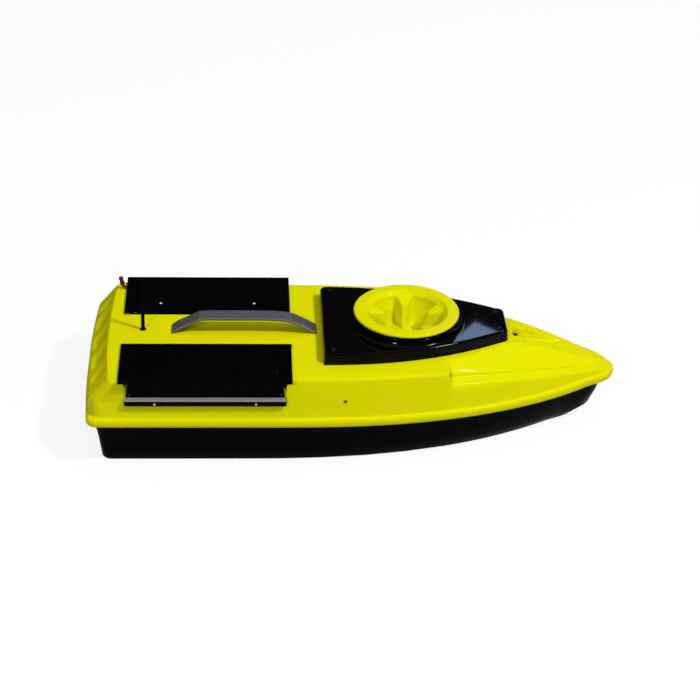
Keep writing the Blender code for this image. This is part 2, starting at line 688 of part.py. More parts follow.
def make_deck(finish):
    """Moulded deck shell: a rounded lip, leaning walls, a flat top and a falling fore deck."""
    foot = DECK_FOOT_Z
    lip = [
        level(*lip_line(LIP_UNDERCUT), foot),
        level(*lip_line(0), foot + LIP_SWELL),
        level(*lip_line(LIP_TOP_INSET), foot + LIP_HEIGHT),
        level(*lip_line(WALL_FOOT_INSET), foot + WALL_FOOT_RISE),
    ]
    deck = loft("deck_shell", lip + deck_top_levels(0), finish)
    inside = [
        level(*lip_line(LIP_WIDTH), foot - MARGIN),
        level(*lip_line(LIP_WIDTH), foot + WALL_FOOT_RISE - WALL),
    ]
    hollow = loft("deck_hollow", inside + deck_top_levels(WALL))
    trough, trough_housing = trough_solids()
    cut(hollow, trough_housing)
    cut(deck, hollow, trough)
    for side, hand in SIDES:
        cut(deck, hopper_opening(side, hand))
        cut(deck, hinge_groove(side, hand))
        cut(deck, light_hole("headlight_hole_" + hand, *headlight_place(side)))
    cut(deck, light_hole("bow_light_hole", *bow_light_place()))
    cut(deck, hatch_hole("deck_hatch_hole", HATCH_LANDING))
    for x in handle_feet():
        cut(deck, handle_slot(x))
    cut(deck, rod("antenna_hole", (ANTENNA_X, 0, DECK_HEIGHT - MARGIN), (ANTENNA_X, 0, DECK_HEIGHT + MARGIN),
                  ANTENNA_RADIUS + GAP))
    cut(deck, rod("switch_hole", (SWITCH_X, SWITCH_Y, DECK_HEIGHT - MARGIN),
                  (SWITCH_X, SWITCH_Y, DECK_HEIGHT + MARGIN), SWITCH_BUSH_RADIUS + GAP))
    return deck


def trough_solids():
    """The recess in front of the hatch, and the same grown by a wall, to keep its floor closed."""
    start = HATCH_FRONT_X + TROUGH_START
    floor_start = DECK_HEIGHT - TROUGH_DEPTH
    end = start + TROUGH_LENGTH
    floor_end = float(plateau_z(np.array([end]))[0])
    solids = []
    for name, wall in (("trough", 0), ("trough_housing", WALL)):
        top = DECK_HEIGHT + MARGIN
        outline = [
            (start - wall, top),
            (start - wall, floor_start - wall),
            (end + wall, floor_end - wall),
            (end + wall, top),
        ]
        solids.append(long_plate(name, outline, 0, TROUGH_WIDTH + 2 * wall))
    return solids


def hopper_opening(side, hand):
    """Opening in the deck's top and side for one hopper."""
    ends = sorted((side * OPENING_INNER_Y, side * (BEAM / 2 + MARGIN)))
    low = (HOPPER_CENTRE_X - OPENING_HALF, ends[0], APRON_FOOT_Z - 2 * GAP)
    high = (HOPPER_CENTRE_X + OPENING_HALF, ends[1], DECK_HEIGHT + MARGIN)
    return box("hopper_opening_" + hand, low, high)


def hinge_groove(side, hand):
    """Slot along a lid's inner edge, which turns down into it as the lid swings up."""
    ends = sorted((side * OPENING_INNER_Y, side * (LID_AXIS_Y + 2 * GAP)))
    half = LID_LENGTH / 2 + GAP
    low = (HOPPER_CENTRE_X - half, ends[0], DECK_HEIGHT - MARGIN)
    high = (HOPPER_CENTRE_X + half, ends[1], DECK_HEIGHT + MARGIN)
    return box("hinge_groove_" + hand, low, high)


def handle_feet():
    return [HANDLE_CENTRE_X + end * HANDLE_SPAN / 2 for end in (-1, 1)]


def handle_slot(x):
    half = HANDLE_STRAP / 2 + GAP
    width = HANDLE_WIDTH / 2 + GAP
    return box("handle_slot", (x - half, -width, DECK_HEIGHT - MARGIN), (x + half, width, DECK_HEIGHT + MARGIN))


def hatch_outline(inset):
    """Hatch plan, drawn in by an inset, as a closed list of x and y."""
    rear = HATCH_REAR_X + inset
    front = HATCH_FRONT_X - inset
    x = np.linspace(rear, front, HATCH_POINTS)
    y = hatch_half(x) - inset
    return list(zip(x, y)) + list(zip(x[::-1], -y[::-1]))


def hatch_hole(name, inset):
    depth = 4 * MARGIN
    return plate(name, hatch_outline(inset), depth, Matrix.Translation((0, 0, DECK_HEIGHT)))


def make_hatch(finish, rubber, steel):
    """Moulded cover with a round collar, its gasket and its four screws."""
    middle = HATCH_FOOT_Z + HATCH_HEIGHT / 2
    cover = plate("hatch_cover", hatch_outline(0), HATCH_HEIGHT, Matrix.Translation((0, 0, middle)), finish)
    edge = cover.modifiers.new("edge", "BEVEL")
    edge.width = HATCH_EDGE
    edge.segments = EDGE_SEGMENTS
    edge.limit_method = "ANGLE"
    collar = rod(
        "collar",
        (CAP_X, 0, HATCH_TOP_Z - WALL / 2),
        (CAP_X, 0, COLLAR_TOP_Z),
        CAP_RADIUS + COLLAR_FOOT,
        end_radius=CAP_RADIUS - GAP,
        sides=CAP_ROUND,
    )
    room = HATCH_HEIGHT - WALL
    hollow = plate(
        "hatch_hollow",
        hatch_outline(HATCH_SEAL_WIDTH),
        2 * room,
        Matrix.Translation((0, 0, HATCH_FOOT_Z)),
    )
    hole = rod(
        "cap_hole",
        (CAP_X, 0, HATCH_FOOT_Z - MARGIN),
        (CAP_X, 0, COLLAR_TOP_Z + MARGIN),
        CAP_NECK_RADIUS + 2 * GAP,
        sides=CAP_ROUND,
    )
    cut(cover, hollow)
    join(cover, collar)
    cut(cover, hole)
    seal_z = DECK_HEIGHT + GAP + HATCH_SEAL_HEIGHT / 2
    seal_frame = Matrix.Translation((0, 0, seal_z))
    seal = plate("hatch_seal", hatch_outline(GAP), HATCH_SEAL_HEIGHT, seal_frame, rubber)
    cut(seal, hatch_hole("seal_opening", HATCH_SEAL_WIDTH))
    for number, (x, y) in enumerate(hatch_screw_places(), 1):
        hole = rod("hatch_screw_hole", (x, y, DECK_HEIGHT - MARGIN), (x, y, HATCH_TOP_Z + MARGIN),
                   HATCH_SCREW_RADIUS / 2 + GAP)
        cut(cover, hole)
        make_screw("hatch_screw_%d" % number, (x, y, HATCH_TOP_Z + GAP), (0, 0, 1), HATCH_SCREW_RADIUS,
                   HATCH_SCREW_HEAD, HATCH_HEIGHT - GAP, steel)
    return cover


def hatch_screw_places():
    inset = 2 * HATCH_SEAL_WIDTH + HATCH_SCREW_RADIUS
    rear = (HATCH_REAR_X + inset, HATCH_REAR_HALF - inset)
    front_x = HATCH_FRONT_X - inset
    front = (front_x, float(hatch_half(np.array([front_x]))[0]) - inset)
    return [(x, side * y) for x, y in (rear, front) for side in (1, -1)]


def make_screw(name, seat, axis, radius, head, length, finish):
    """A pan-head screw whose head sits on a seat and points along an axis."""
    seat = Vector(seat)
    axis = Vector(axis).normalized()
    screw = rod(name, seat, seat + axis * head, radius, finish, end_radius=radius * SCREW_HEAD_TAPER)
    shank = rod(name + "_shank", seat - axis * length, seat + axis * head / 2, radius / 2)
    join(screw, shank)
    return screw


def make_cap(finish, rubber):
    """Twist cap: a flat rim over a ribbed finger bowl, sealed by an O-ring on the collar."""
    bottom = CAP_TOP_Z - CAP_BOWL_DEPTH - CAP_FLOOR
    chamfer = CAP_RIM_THICKNESS / 3
    profile = [
        (0, CAP_TOP_Z),
        (CAP_RADIUS - chamfer, CAP_TOP_Z),
        (CAP_RADIUS, CAP_TOP_Z - chamfer),
        (CAP_RADIUS, CAP_UNDER_Z + chamfer),
        (CAP_RADIUS - chamfer, CAP_UNDER_Z),
        (CAP_NECK_RADIUS, CAP_UNDER_Z),
        (CAP_NECK_RADIUS, bottom),
        (0, bottom),
    ]
    cap = turned("round_cap", profile, (CAP_X, 0, 0), CAP_ROUND, finish)
    cut(cap, cap_bowl())
    ring_radius = (CAP_RADIUS + CAP_NECK_RADIUS) / 2
    ring_z = COLLAR_TOP_Z + GAP + O_RING_SECTION
    section = np.linspace(0, 2 * math.pi, SMALL_ROUND // 2, endpoint=False)
    ring_profile = [
        (ring_radius + O_RING_SECTION * math.sin(a), ring_z + O_RING_SECTION * math.cos(a)) for a in section
    ]
    ring = turned("cap_o_ring", ring_profile, (CAP_X, 0, 0), CAP_ROUND, rubber)
    pivot("cap_axis", (CAP_X, 0, CAP_UNDER_Z), cap, ring)
    return cap


def cap_bowl():
    """The bowl's space: a shallow dish at the rim, then a wall with round ribs standing into it."""
    angle = np.linspace(0, 2 * math.pi, CAP_ROUND, endpoint=False)
    wave = np.cos(CAP_RIBS * (angle - np.pi / 2))
    ribs = CAP_RIB_DEPTH * np.clip((wave - CAP_RIB_EDGE) / (CAP_RIB_CREST - CAP_RIB_EDGE), 0, 1)
    rim = CAP_RADIUS - CAP_RIM_FLAT
    dish_z = CAP_TOP_Z - CAP_DISH
    slope = (rim - CAP_BOWL_RADIUS) / CAP_DISH
    rings = [
        (rim + slope * MARGIN, CAP_TOP_Z + MARGIN),
        (CAP_BOWL_RADIUS, dish_z),
        (CAP_BOWL_RADIUS - ribs / 2, dish_z - CAP_DISH),
        (CAP_BOWL_FLOOR - ribs, CAP_TOP_Z - CAP_BOWL_DEPTH),
    ]
    shape = bmesh.new()
    verts = []
    for radius, height in rings:
        radius = np.broadcast_to(radius, angle.shape)
        verts.append([
            shape.verts.new((CAP_X + r * math.cos(a), r * math.sin(a), height)) for r, a in zip(radius, angle)
        ])
    for upper, lower in zip(verts, verts[1:]):
        for i in range(CAP_ROUND):
            j = (i + 1) % CAP_ROUND
            shape.faces.new((upper[i], upper[j], lower[j], lower[i]))
    shape.faces.new(verts[0])
    shape.faces.new(verts[-1])
    bmesh.ops.recalc_face_normals(shape, faces=shape.faces)
    mesh = bpy.data.meshes.new("cap_bowl")
    shape.to_mesh(mesh)
    shape.free()
    return place("cap_bowl", mesh)


def make_handle(finish, steel):
    """Bent strap whose ends pass through the deck and turn in under it, held there by two screws."""
    foot_z = DECK_HEIGHT - WALL - GAP
    half_foot = HANDLE_SPAN / 2
    half_top = HANDLE_TOP_SPAN / 2
    top_z = DECK_HEIGHT + HANDLE_RISE
    t = HANDLE_STRAP
    bend_z = DECK_HEIGHT + t
    outer = [(half_foot + t / 2, foot_z - t), (half_foot + t / 2, bend_z), (half_top, top_z)]
    inner = [(half_top - t / 4, top_z - t), (half_foot - t / 2, bend_z - t / 4), (half_foot - t / 2, foot_z)]
    tab = [(half_foot - HANDLE_FOOT, foot_z), (half_foot - HANDLE_FOOT, foot_z - t)]
    right = outer + [(-x, z) for x, z in outer[::-1]]
    inside = [(-x, z) for x, z in tab[::-1]] + [(-x, z) for x, z in inner[::-1]] + inner + tab
    strap = long_plate("handle_strap", right + inside, HANDLE_CENTRE_X, HANDLE_WIDTH, finish)
    for end, name in ((-1, "handle_screw_aft"), (1, "handle_screw_fore")):
        x = HANDLE_CENTRE_X + end * (half_foot - HANDLE_FOOT / 2)
        seat = (x, 0, foot_z - t - GAP)
        hole = rod(name + "_hole", (x, 0, foot_z - 2 * t), (x, 0, DECK_HEIGHT - WALL / 2),
                   HANDLE_SCREW_RADIUS + GAP)
        cut(strap, hole)
        cut(bpy.data.objects["deck_shell"], hole)
        screw = rod(name, seat, (x, 0, seat[2] - HANDLE_SCREW_HEAD_HEIGHT), HANDLE_SCREW_HEAD, steel)
        shank = rod(name + "_shank", (x, 0, seat[2] - HANDLE_SCREW_HEAD_HEIGHT / 2),
                    (x, 0, DECK_HEIGHT - WALL / 2 - GAP), HANDLE_SCREW_RADIUS)
        join(screw, shank)


def make_hopper(side, hand, plastic, gloss, alloy, steel, dark):
    """One hopper: its bin, lid, drop door, hinge pins, sill strip, magnet and keeper."""
    make_bin(side, hand, plastic)
    make_lid(side, hand, gloss, steel)
    make_door(side, hand, gloss, steel)
    make_sill(side, hand, alloy, steel)
    make_magnet(side, hand, dark)


def bin_floor_z(y):
    """Top of the bin's floor, which falls from its inner wall to the sill."""
    inner_y = bin_inner_y()
    inner_z = DECK_HEIGHT - BIN_INNER_DEPTH
    outer_z = SILL_Z - GAP
    share = (y - inner_y) / (SILL_Y - inner_y)
    return inner_z + (outer_z - inner_z) * share


def bin_inner_y():
    return LID_AXIS_Y + LID_KNUCKLE_RADIUS + 2 * GAP + BIN_WALL


def bin_front_y():
    return DOOR_AXIS_Y - DOOR_KNUCKLE_RADIUS - GAP - DOOR_HEIGHT * math.sin(DOOR_LEAN)


def make_bin(side, hand, finish):
    """Open tub with a sloping floor, hinge lugs for the lid and the door, and an apron over the side."""
    inner_y = bin_inner_y()
    top_z = DECK_HEIGHT - WALL - GAP
    front_y = bin_front_y()
    outside = [
        (inner_y - BIN_WALL, top_z),
        (inner_y - BIN_WALL, bin_floor_z(inner_y) - BIN_WALL),
        (front_y, bin_floor_z(front_y) - BIN_WALL),
        (front_y, top_z),
    ]
    tub = cross_plate("hopper_bin_" + hand, outside, HOPPER_CENTRE_X, 2 * BIN_HALF, side, finish)
    space = [
        (inner_y, top_z + MARGIN),
        (inner_y, bin_floor_z(inner_y)),
        (front_y + MARGIN, bin_floor_z(front_y + MARGIN)),
        (front_y + MARGIN, top_z + MARGIN),
    ]
    space_length = 2 * BIN_HALF - 2 * BIN_WALL - MAGNET_BAY
    space_x = HOPPER_CENTRE_X - MAGNET_BAY / 2
    cut(tub, cross_plate("bin_space_" + hand, space, space_x, space_length, side))
    cut(tub, magnet_bay(side, hand, front_y, top_z))
    root_y = front_y - MARGIN
    apron = [
        (root_y, bin_floor_z(root_y) - BIN_WALL / 2),
        (root_y, APRON_FOOT_Z),
        (SILL_Y + SILL_WIDTH, APRON_FOOT_Z),
        (SILL_Y + SILL_WIDTH, APRON_TOP_Z),
        (front_y, APRON_TOP_Z),
        (front_y, bin_floor_z(front_y) - BIN_WALL / 2),
    ]
    apron_length = 2 * (OPENING_HALF - SILL_END_CLEARANCE)
    join(tub, cross_plate("apron_" + hand, apron, HOPPER_CENTRE_X, apron_length, side))
    for end in (-1, 1):
        join(tub, door_lug(side, hand, end, front_y))
    for number, x in enumerate(lid_lug_places()):
        join(tub, lid_lug(side, hand, number, x))
    pin_y = side * LID_AXIS_Y
    reach = LID_LENGTH / 2
    cut(tub, rod("lid_pin_bore_" + hand, (HOPPER_CENTRE_X - reach, pin_y, LID_AXIS_Z),
                 (HOPPER_CENTRE_X + reach, pin_y, LID_AXIS_Z), LID_PIN_RADIUS + PLAY))
    cut(tub, rod("door_pin_bore_" + hand, (HOPPER_CENTRE_X - reach, side * DOOR_AXIS_Y, DOOR_AXIS_Z),
                 (HOPPER_CENTRE_X + reach, side * DOOR_AXIS_Y, DOOR_AXIS_Z), DOOR_PIN_RADIUS + PLAY))
    for number, x in enumerate(sill_screw_places()):
        seat_y = side * (SILL_Y + SILL_WIDTH)
        z = (APRON_TOP_Z + APRON_FOOT_Z) / 2
        cut(tub, rod("sill_screw_hole_%s_%d" % (hand, number), (x, seat_y + side * MARGIN, z),
                     (x, seat_y - side * MARGIN, z), SILL_SCREW_RADIUS / 2 + GAP))


def magnet_bay(side, hand, front_y, top_z):
    """Pocket at the bin's fore end that holds the magnet behind the door."""
    low_x = HOPPER_CENTRE_X + BIN_HALF - MAGNET_BAY
    high_x = HOPPER_CENTRE_X + BIN_HALF - BIN_WALL
    depth = MAGNET_LENGTH + KEEPER_THICKNESS + 3 * GAP
    ends = sorted((side * (front_y - depth), side * (front_y + MARGIN)))
    floor = magnet_z() - MAGNET_RADIUS - GAP
    return box("magnet_bay_" + hand, (low_x, ends[0], floor), (high_x, ends[1], top_z + MARGIN))


def magnet_z():
    return DOOR_AXIS_Z + DOOR_HEIGHT - DOOR_HEAD_ROOM - MAGNET_RADIUS


def magnet_x():
    return HOPPER_CENTRE_X + BIN_HALF - (BIN_WALL + MAGNET_BAY) / 2


def door_lug(side, hand, end, front_y):
    """Ear at the bin's end that carries the door's hinge pin."""
    reach = SILL_Y - GAP
    low_z = APRON_TOP_Z - MARGIN / 2
    outline = [
        (front_y - MARGIN, low_z),
        (reach, low_z),
        (reach, DOOR_AXIS_Z + DOOR_KNUCKLE_RADIUS),
        (front_y - MARGIN, DOOR_AXIS_Z + 3 * DOOR_KNUCKLE_RADIUS),
    ]
    x = HOPPER_CENTRE_X + end * (BIN_HALF - BIN_WALL / 2)
    return cross_plate("door_lug_%s_%d" % (hand, end), outline, x, BIN_WALL, side)


def lid_lug_places():
    return [HOPPER_CENTRE_X + share * (BIN_HALF - LID_LUG_LENGTH / 2) for share in (-1, 0, 1)]


def lid_lug(side, hand, number, x):
    """Ear on the bin's inner wall that carries the lid's hinge pin."""
    wall_y = bin_inner_y()
    top = LID_UNDER_Z - 2 * GAP
    outline = [
        (LID_AXIS_Y - LID_LUG_REACH, top),
        (LID_AXIS_Y - LID_LUG_REACH, LID_AXIS_Z - LID_KNUCKLE_RADIUS),
        (wall_y - BIN_WALL / 2, LID_AXIS_Z - 2 * LID_KNUCKLE_RADIUS),
        (wall_y - BIN_WALL / 2, top),
    ]
    return cross_plate("lid_lug_%s_%d" % (hand, number), outline, x, LID_LUG_LENGTH, side)


def make_lid(side, hand, finish, steel):
    """Flat lid with two hinge knuckles, notches that clear the bin's lugs as it swings, and its pin."""
    ends = sorted((side * LID_INNER_Y, side * LID_OUTER_Y))
    half = LID_LENGTH / 2
    lid = box("hopper_lid_" + hand, (HOPPER_CENTRE_X - half, ends[0], LID_UNDER_Z),
              (HOPPER_CENTRE_X + half, ends[1], LID_TOP_Z), finish)
    centre = Vector((0, side * LID_AXIS_Y, LID_AXIS_Z))
    for number, end in enumerate((-1, 1)):
        x = HOPPER_CENTRE_X + end * LID_KNUCKLE_SPACING / 2
        along = Vector((LID_KNUCKLE_LENGTH / 2, 0, 0))
        middle = centre + Vector((x, 0, 0))
        join(lid, rod("lid_knuckle_%s_%d" % (hand, number), middle - along, middle + along, LID_KNUCKLE_RADIUS))
    for number, x in enumerate(lid_lug_places()):
        notch = sorted((side * (LID_INNER_Y - MARGIN), side * (LID_AXIS_Y + 2 * GAP)))
        room = LID_LUG_LENGTH / 2 + GAP
        cut(lid, box("lid_notch_%s_%d" % (hand, number), (x - room, notch[0], LID_UNDER_Z - MARGIN),
                     (x + room, notch[1], LID_TOP_Z - LID_SKIN)))
    reach = Vector((half, 0, 0))
    middle = centre + Vector((HOPPER_CENTRE_X, 0, 0))
    cut(lid, rod("lid_bore_" + hand, middle - reach - reach, middle + reach + reach, LID_PIN_RADIUS + PLAY))
    pin_half = Vector((BIN_HALF, 0, 0))
    rod("lid_hinge_pin_" + hand, middle - pin_half, middle + pin_half, LID_PIN_RADIUS, steel)
    pivot("lid_axis_" + hand, middle, lid)


def make_door(side, hand, finish, steel):
    """Drop door that leans in at its top, hinged along its lower edge on a pin."""
    half = BIN_HALF - BIN_WALL - DOOR_END_CLEARANCE
    lean = DOOR_LEAN
    turn = np.linspace(-math.pi, 0, SMALL_ROUND // 2 + 1)
    r = DOOR_KNUCKLE_RADIUS
    t = DOOR_THICKNESS / 2
    upright = [(r * math.cos(a), r * math.sin(a)) for a in turn]
    upright += [(t, r), (t, DOOR_HEIGHT), (-t, DOOR_HEIGHT), (-t, r)]
    outline = [
        (
            DOOR_AXIS_Y + y * math.cos(lean) - z * math.sin(lean),
            DOOR_AXIS_Z + y * math.sin(lean) + z * math.cos(lean),
        )
        for y, z in upright
    ]
    door = cross_plate("drop_door_" + hand, outline, HOPPER_CENTRE_X, 2 * half, side, finish)
    middle = Vector((HOPPER_CENTRE_X, side * DOOR_AXIS_Y, DOOR_AXIS_Z))
    reach = Vector((BIN_HALF, 0, 0))
    cut(door, rod("door_bore_" + hand, middle - 2 * reach, middle + 2 * reach, DOOR_PIN_RADIUS + PLAY))
    rod("door_hinge_pin_" + hand, middle - reach, middle + reach, DOOR_PIN_RADIUS, steel)
    keeper = make_keeper(side, hand, steel)
    pivot("door_axis_" + hand, middle, door, keeper)


def make_keeper(side, hand, steel):
    """Steel plate on the door's inner face, opposite the magnet."""
    height = magnet_z() - DOOR_AXIS_Z
    inward = DOOR_THICKNESS / 2 + GAP
    lean = DOOR_LEAN
    corners = []
    for y in (-inward, -inward - KEEPER_THICKNESS):
        heights = (height - KEEPER_SIZE / 2, height + KEEPER_SIZE / 2)
        for z in heights if y == -inward else heights[::-1]:
            corners.append((
                DOOR_AXIS_Y + y * math.cos(lean) - z * math.sin(lean),
                DOOR_AXIS_Z + y * math.sin(lean) + z * math.cos(lean),
            ))
    return cross_plate("door_keeper_" + hand, corners, magnet_x(), KEEPER_SIZE, side, steel)


def make_magnet(side, hand, finish):
    """Round electromagnet whose pole faces the keeper."""
    lean_shift = (magnet_z() + MAGNET_RADIUS - DOOR_AXIS_Z) * math.sin(DOOR_LEAN)
    pole_y = DOOR_AXIS_Y - DOOR_THICKNESS / 2 - 2 * GAP - KEEPER_THICKNESS - lean_shift
    rod("door_magnet_" + hand, (magnet_x(), side * (pole_y - MAGNET_LENGTH), magnet_z()),
        (magnet_x(), side * pole_y, magnet_z()), MAGNET_RADIUS, finish)


def sill_screw_places():
    return [HOPPER_CENTRE_X + end * SILL_SCREW_SPACING / 2 for end in (-1, 1)]


def make_sill(side, hand, alloy, steel):
    """Metal strip along the bin's outer edge, with two screws in the apron below it."""
    ends = sorted((side * SILL_Y, side * (SILL_Y + SILL_WIDTH)))
    half = OPENING_HALF - SILL_END_CLEARANCE
    box("sill_strip_" + hand, (HOPPER_CENTRE_X - half, ends[0], SILL_Z - SILL_THICKNESS),
        (HOPPER_CENTRE_X + half, ends[1], SILL_Z), alloy)
    for number, x in enumerate(sill_screw_places(), 1):
        seat = (x, side * (SILL_Y + SILL_WIDTH + GAP), (APRON_TOP_Z + APRON_FOOT_Z) / 2)
        make_screw("sill_screw_%s_%d" % (hand, number), seat, (0, side, 0), SILL_SCREW_RADIUS, SILL_SCREW_HEAD,
                   MARGIN, steel)


def make_antenna(finish):
    """Whip through a round foot that sits on the deck."""
    foot_z = DECK_HEIGHT + GAP
    foot = rod("antenna_base", (ANTENNA_X, 0, foot_z), (ANTENNA_X, 0, foot_z + ANTENNA_BASE_HEIGHT),
               ANTENNA_BASE_RADIUS, finish, end_radius=ANTENNA_BASE_RADIUS * SLIM_TAPER)
    bore = rod("antenna_bore", (ANTENNA_X, 0, foot_z - MARGIN), (ANTENNA_X, 0, foot_z + 2 * MARGIN),
               ANTENNA_RADIUS + GAP)
    cut(foot, bore)
    whip_foot = (ANTENNA_X, 0, DECK_HEIGHT - WALL - MARGIN)
    whip_tip = (ANTENNA_X, 0, DECK_HEIGHT + ANTENNA_HEIGHT)
    rod("antenna_whip", whip_foot, whip_tip, ANTENNA_RADIUS, finish, end_radius=ANTENNA_RADIUS * SLIM_TAPER)


def make_switch(metal, red):
    """Toggle switch: its body under the deck, its threaded bush, and a lever with a red knob."""
    length, width, height = SWITCH_BODY
    top = DECK_HEIGHT - WALL - GAP
    body = box("switch_body", (SWITCH_X - length / 2, SWITCH_Y - width / 2, top - height),
               (SWITCH_X + length / 2, SWITCH_Y + width / 2, top), metal)
    bush_top = DECK_HEIGHT + SWITCH_BUSH_HEIGHT
    join(body, rod("switch_bush", (SWITCH_X, SWITCH_Y, top - GAP), (SWITCH_X, SWITCH_Y, bush_top),
                   SWITCH_BUSH_RADIUS))
    seat = Vector((SWITCH_X, SWITCH_Y, top + GAP + SWITCH_LEVER_RADIUS))
    room = SWITCH_LEVER_RADIUS + GAP
    flare = (SWITCH_MOUTH_RADIUS - room) / (bush_top - seat.z)
    mouth_top = Vector((SWITCH_X, SWITCH_Y, bush_top + MARGIN))
    cut(body, rod("switch_socket", (SWITCH_X, SWITCH_Y, top), seat, room))
    cut(body, rod("switch_mouth", seat, mouth_top, room, end_radius=room + flare * (mouth_top.z - seat.z)))
    tilt = Vector((-math.sin(SWITCH_THROW), 0, math.cos(SWITCH_THROW)))
    tip = seat + tilt * SWITCH_LEVER_LENGTH
    lever = rod("switch_lever", seat, tip, SWITCH_LEVER_RADIUS / 2, red, end_radius=SWITCH_KNOB_RADIUS)
    join(lever, ball("switch_knob", tip, SWITCH_KNOB_RADIUS))
    join(lever, ball("switch_ball", seat, SWITCH_LEVER_RADIUS))
    pivot("switch_axis", seat, lever)


def headlight_place(side):
    """Middle of a headlight's front face, in the step of the shoulder."""
    half = BEAM / 2
    line = float(half_breadth(np.array([STEP_X]), half, BOW_X, DECK_BOW_RUN)[0])
    y = line - (SHOULDER_INSET + LEDGE_INSET) / 2
    z = DECK_HEIGHT - (CREST_FALL + LEDGE_CREST_DROP + LEDGE_DEPTH) / 2 - LIGHT_RADIUS / 2
    return STEP_X, side * y, z


def bow_light_place():
    x = HATCH_FRONT_X + TROUGH_START
    return x, 0, DECK_HEIGHT - BOW_LIGHT_DROP


def light_hole(name, x, y, z):
    reach = WALL + MARGIN
    return rod(name, (x - reach, y, z), (x + reach, y, z), LIGHT_RADIUS + GAP)


def make_light(name, place_of, finish):
    """A small lamp that looks forward out of its hole."""
    x, y, z = place_of
    rod(name, (x - LIGHT_LENGTH, y, z), (x + LIGHT_FLANGE, y, z), LIGHT_RADIUS, finish,
        end_radius=LIGHT_RADIUS * SLIM_TAPER)


def make_drive(side, hand, steel, brass, dark, plastic):
    """Motor, coupling, shaft in its stern tube, and the screw in its tunnel."""
    y = side * DRIVE_Y
    z = DRIVE_Z
    tube_aft = TUNNEL_FRONT_X - TUBE_OVERHANG
    tube_fore = tube_aft + TUBE_LENGTH
    coupling_aft = tube_fore + MOTOR_BOSS_LENGTH / 2
    coupling_fore = coupling_aft + COUPLING_LENGTH
    mount_face = MOTOR_MOUNT_X + MOUNT_PLATE + GAP
    tube = rod("stern_tube_" + hand, (tube_aft, y, z), (tube_fore, y, z), TUBE_RADIUS, brass)
    cut(tube, rod("tube_bore_" + hand, (tube_aft - MARGIN, y, z), (tube_fore + MARGIN, y, z),
                  SHAFT_RADIUS + PLAY))
    shaft_fore = coupling_aft + COUPLING_LENGTH / 2 - GAP
    shaft = rod("prop_shaft_" + hand, (PROP_X - PROP_HUB_LENGTH / 2, y, z), (shaft_fore, y, z),
                SHAFT_RADIUS, steel)
    coupling = rod("coupling_" + hand, (coupling_aft, y, z), (coupling_fore, y, z), COUPLING_RADIUS, brass)
    cut(coupling, rod("coupling_bore_aft_" + hand, (coupling_aft - MARGIN, y, z), (shaft_fore + GAP, y, z),
                      SHAFT_RADIUS + GAP))
    motor_tip = coupling_fore - COUPLING_LENGTH / 2 + 2 * GAP
    cut(coupling, rod("coupling_bore_fore_" + hand, (motor_tip - GAP, y, z), (coupling_fore + MARGIN, y, z),
                      MOTOR_SHAFT_RADIUS + GAP))
    rotor = rod("motor_shaft_" + hand, (motor_tip, y, z), (mount_face + MOTOR_BOSS_LENGTH, y, z),
                MOTOR_SHAFT_RADIUS, steel)
    motor = rod("motor_" + hand, (mount_face, y, z), (mount_face + MOTOR_LENGTH, y, z), MOTOR_RADIUS, dark,
                sides=ROUND)
    boss_aft = MOTOR_MOUNT_X - MOTOR_BOSS_LENGTH / 2
    join(motor, rod("motor_boss_" + hand, (boss_aft, y, z), (mount_face + GAP, y, z), MOTOR_BOSS_RADIUS))
    cut(motor, rod("motor_bore_" + hand, (boss_aft - MARGIN, y, z), (mount_face + 2 * MOTOR_BOSS_LENGTH, y, z),
                   MOTOR_SHAFT_RADIUS + PLAY))
    screw = make_propeller(side, hand, y, z, plastic)
    pivot("drive_axis_" + hand, (PROP_X, y, z), screw, shaft, coupling, rotor)


def make_propeller(side, hand, y, z, finish):
    """Hub with pitched blades, of opposite hand on each side."""
    half = PROP_HUB_LENGTH / 2
    screw = rod("propeller_" + hand, (PROP_X - half, y, z), (PROP_X + half, y, z), PROP_HUB_RADIUS, finish)
    span = PROP_RADIUS - PROP_HUB_RADIUS / 2
    for number in range(PROP_BLADES):
        spin = Matrix.Rotation(2 * math.pi * number / PROP_BLADES, 4, "X")
        pitch = Matrix.Rotation(side * PROP_PITCH, 4, "Z")
        reach = Matrix.Translation((0, 0, PROP_HUB_RADIUS / 2 + span / 2))
        outline = blade_outline(span)
        lay = Matrix(((0, 0, 1, 0), (1, 0, 0, 0), (0, 1, 0, 0), (0, 0, 0, 1)))
        frame = Matrix.Translation((PROP_X, y, z)) @ spin @ reach @ pitch @ lay
        join(screw, plate("blade_%s_%d" % (hand, number), outline, PROP_BLADE_THICKNESS, frame))
    bore = rod("prop_bore_" + hand, (PROP_X - 2 * half, y, z), (PROP_X + 2 * half, y, z), SHAFT_RADIUS + GAP)
    cut(screw, bore)
    return screw


def blade_outline(span):
    """A blade seen face on: a narrow root that widens to a round tip."""
    half = PROP_BLADE_CHORD / 2
    turn = np.linspace(0, math.pi, SMALL_ROUND // 2 + 1)
    tip = span / 2 - half
    crown = [(half * math.cos(a), tip + half * math.sin(a)) for a in turn]
    return crown + [(-half / 2, -span / 2), (half / 2, -span / 2)]


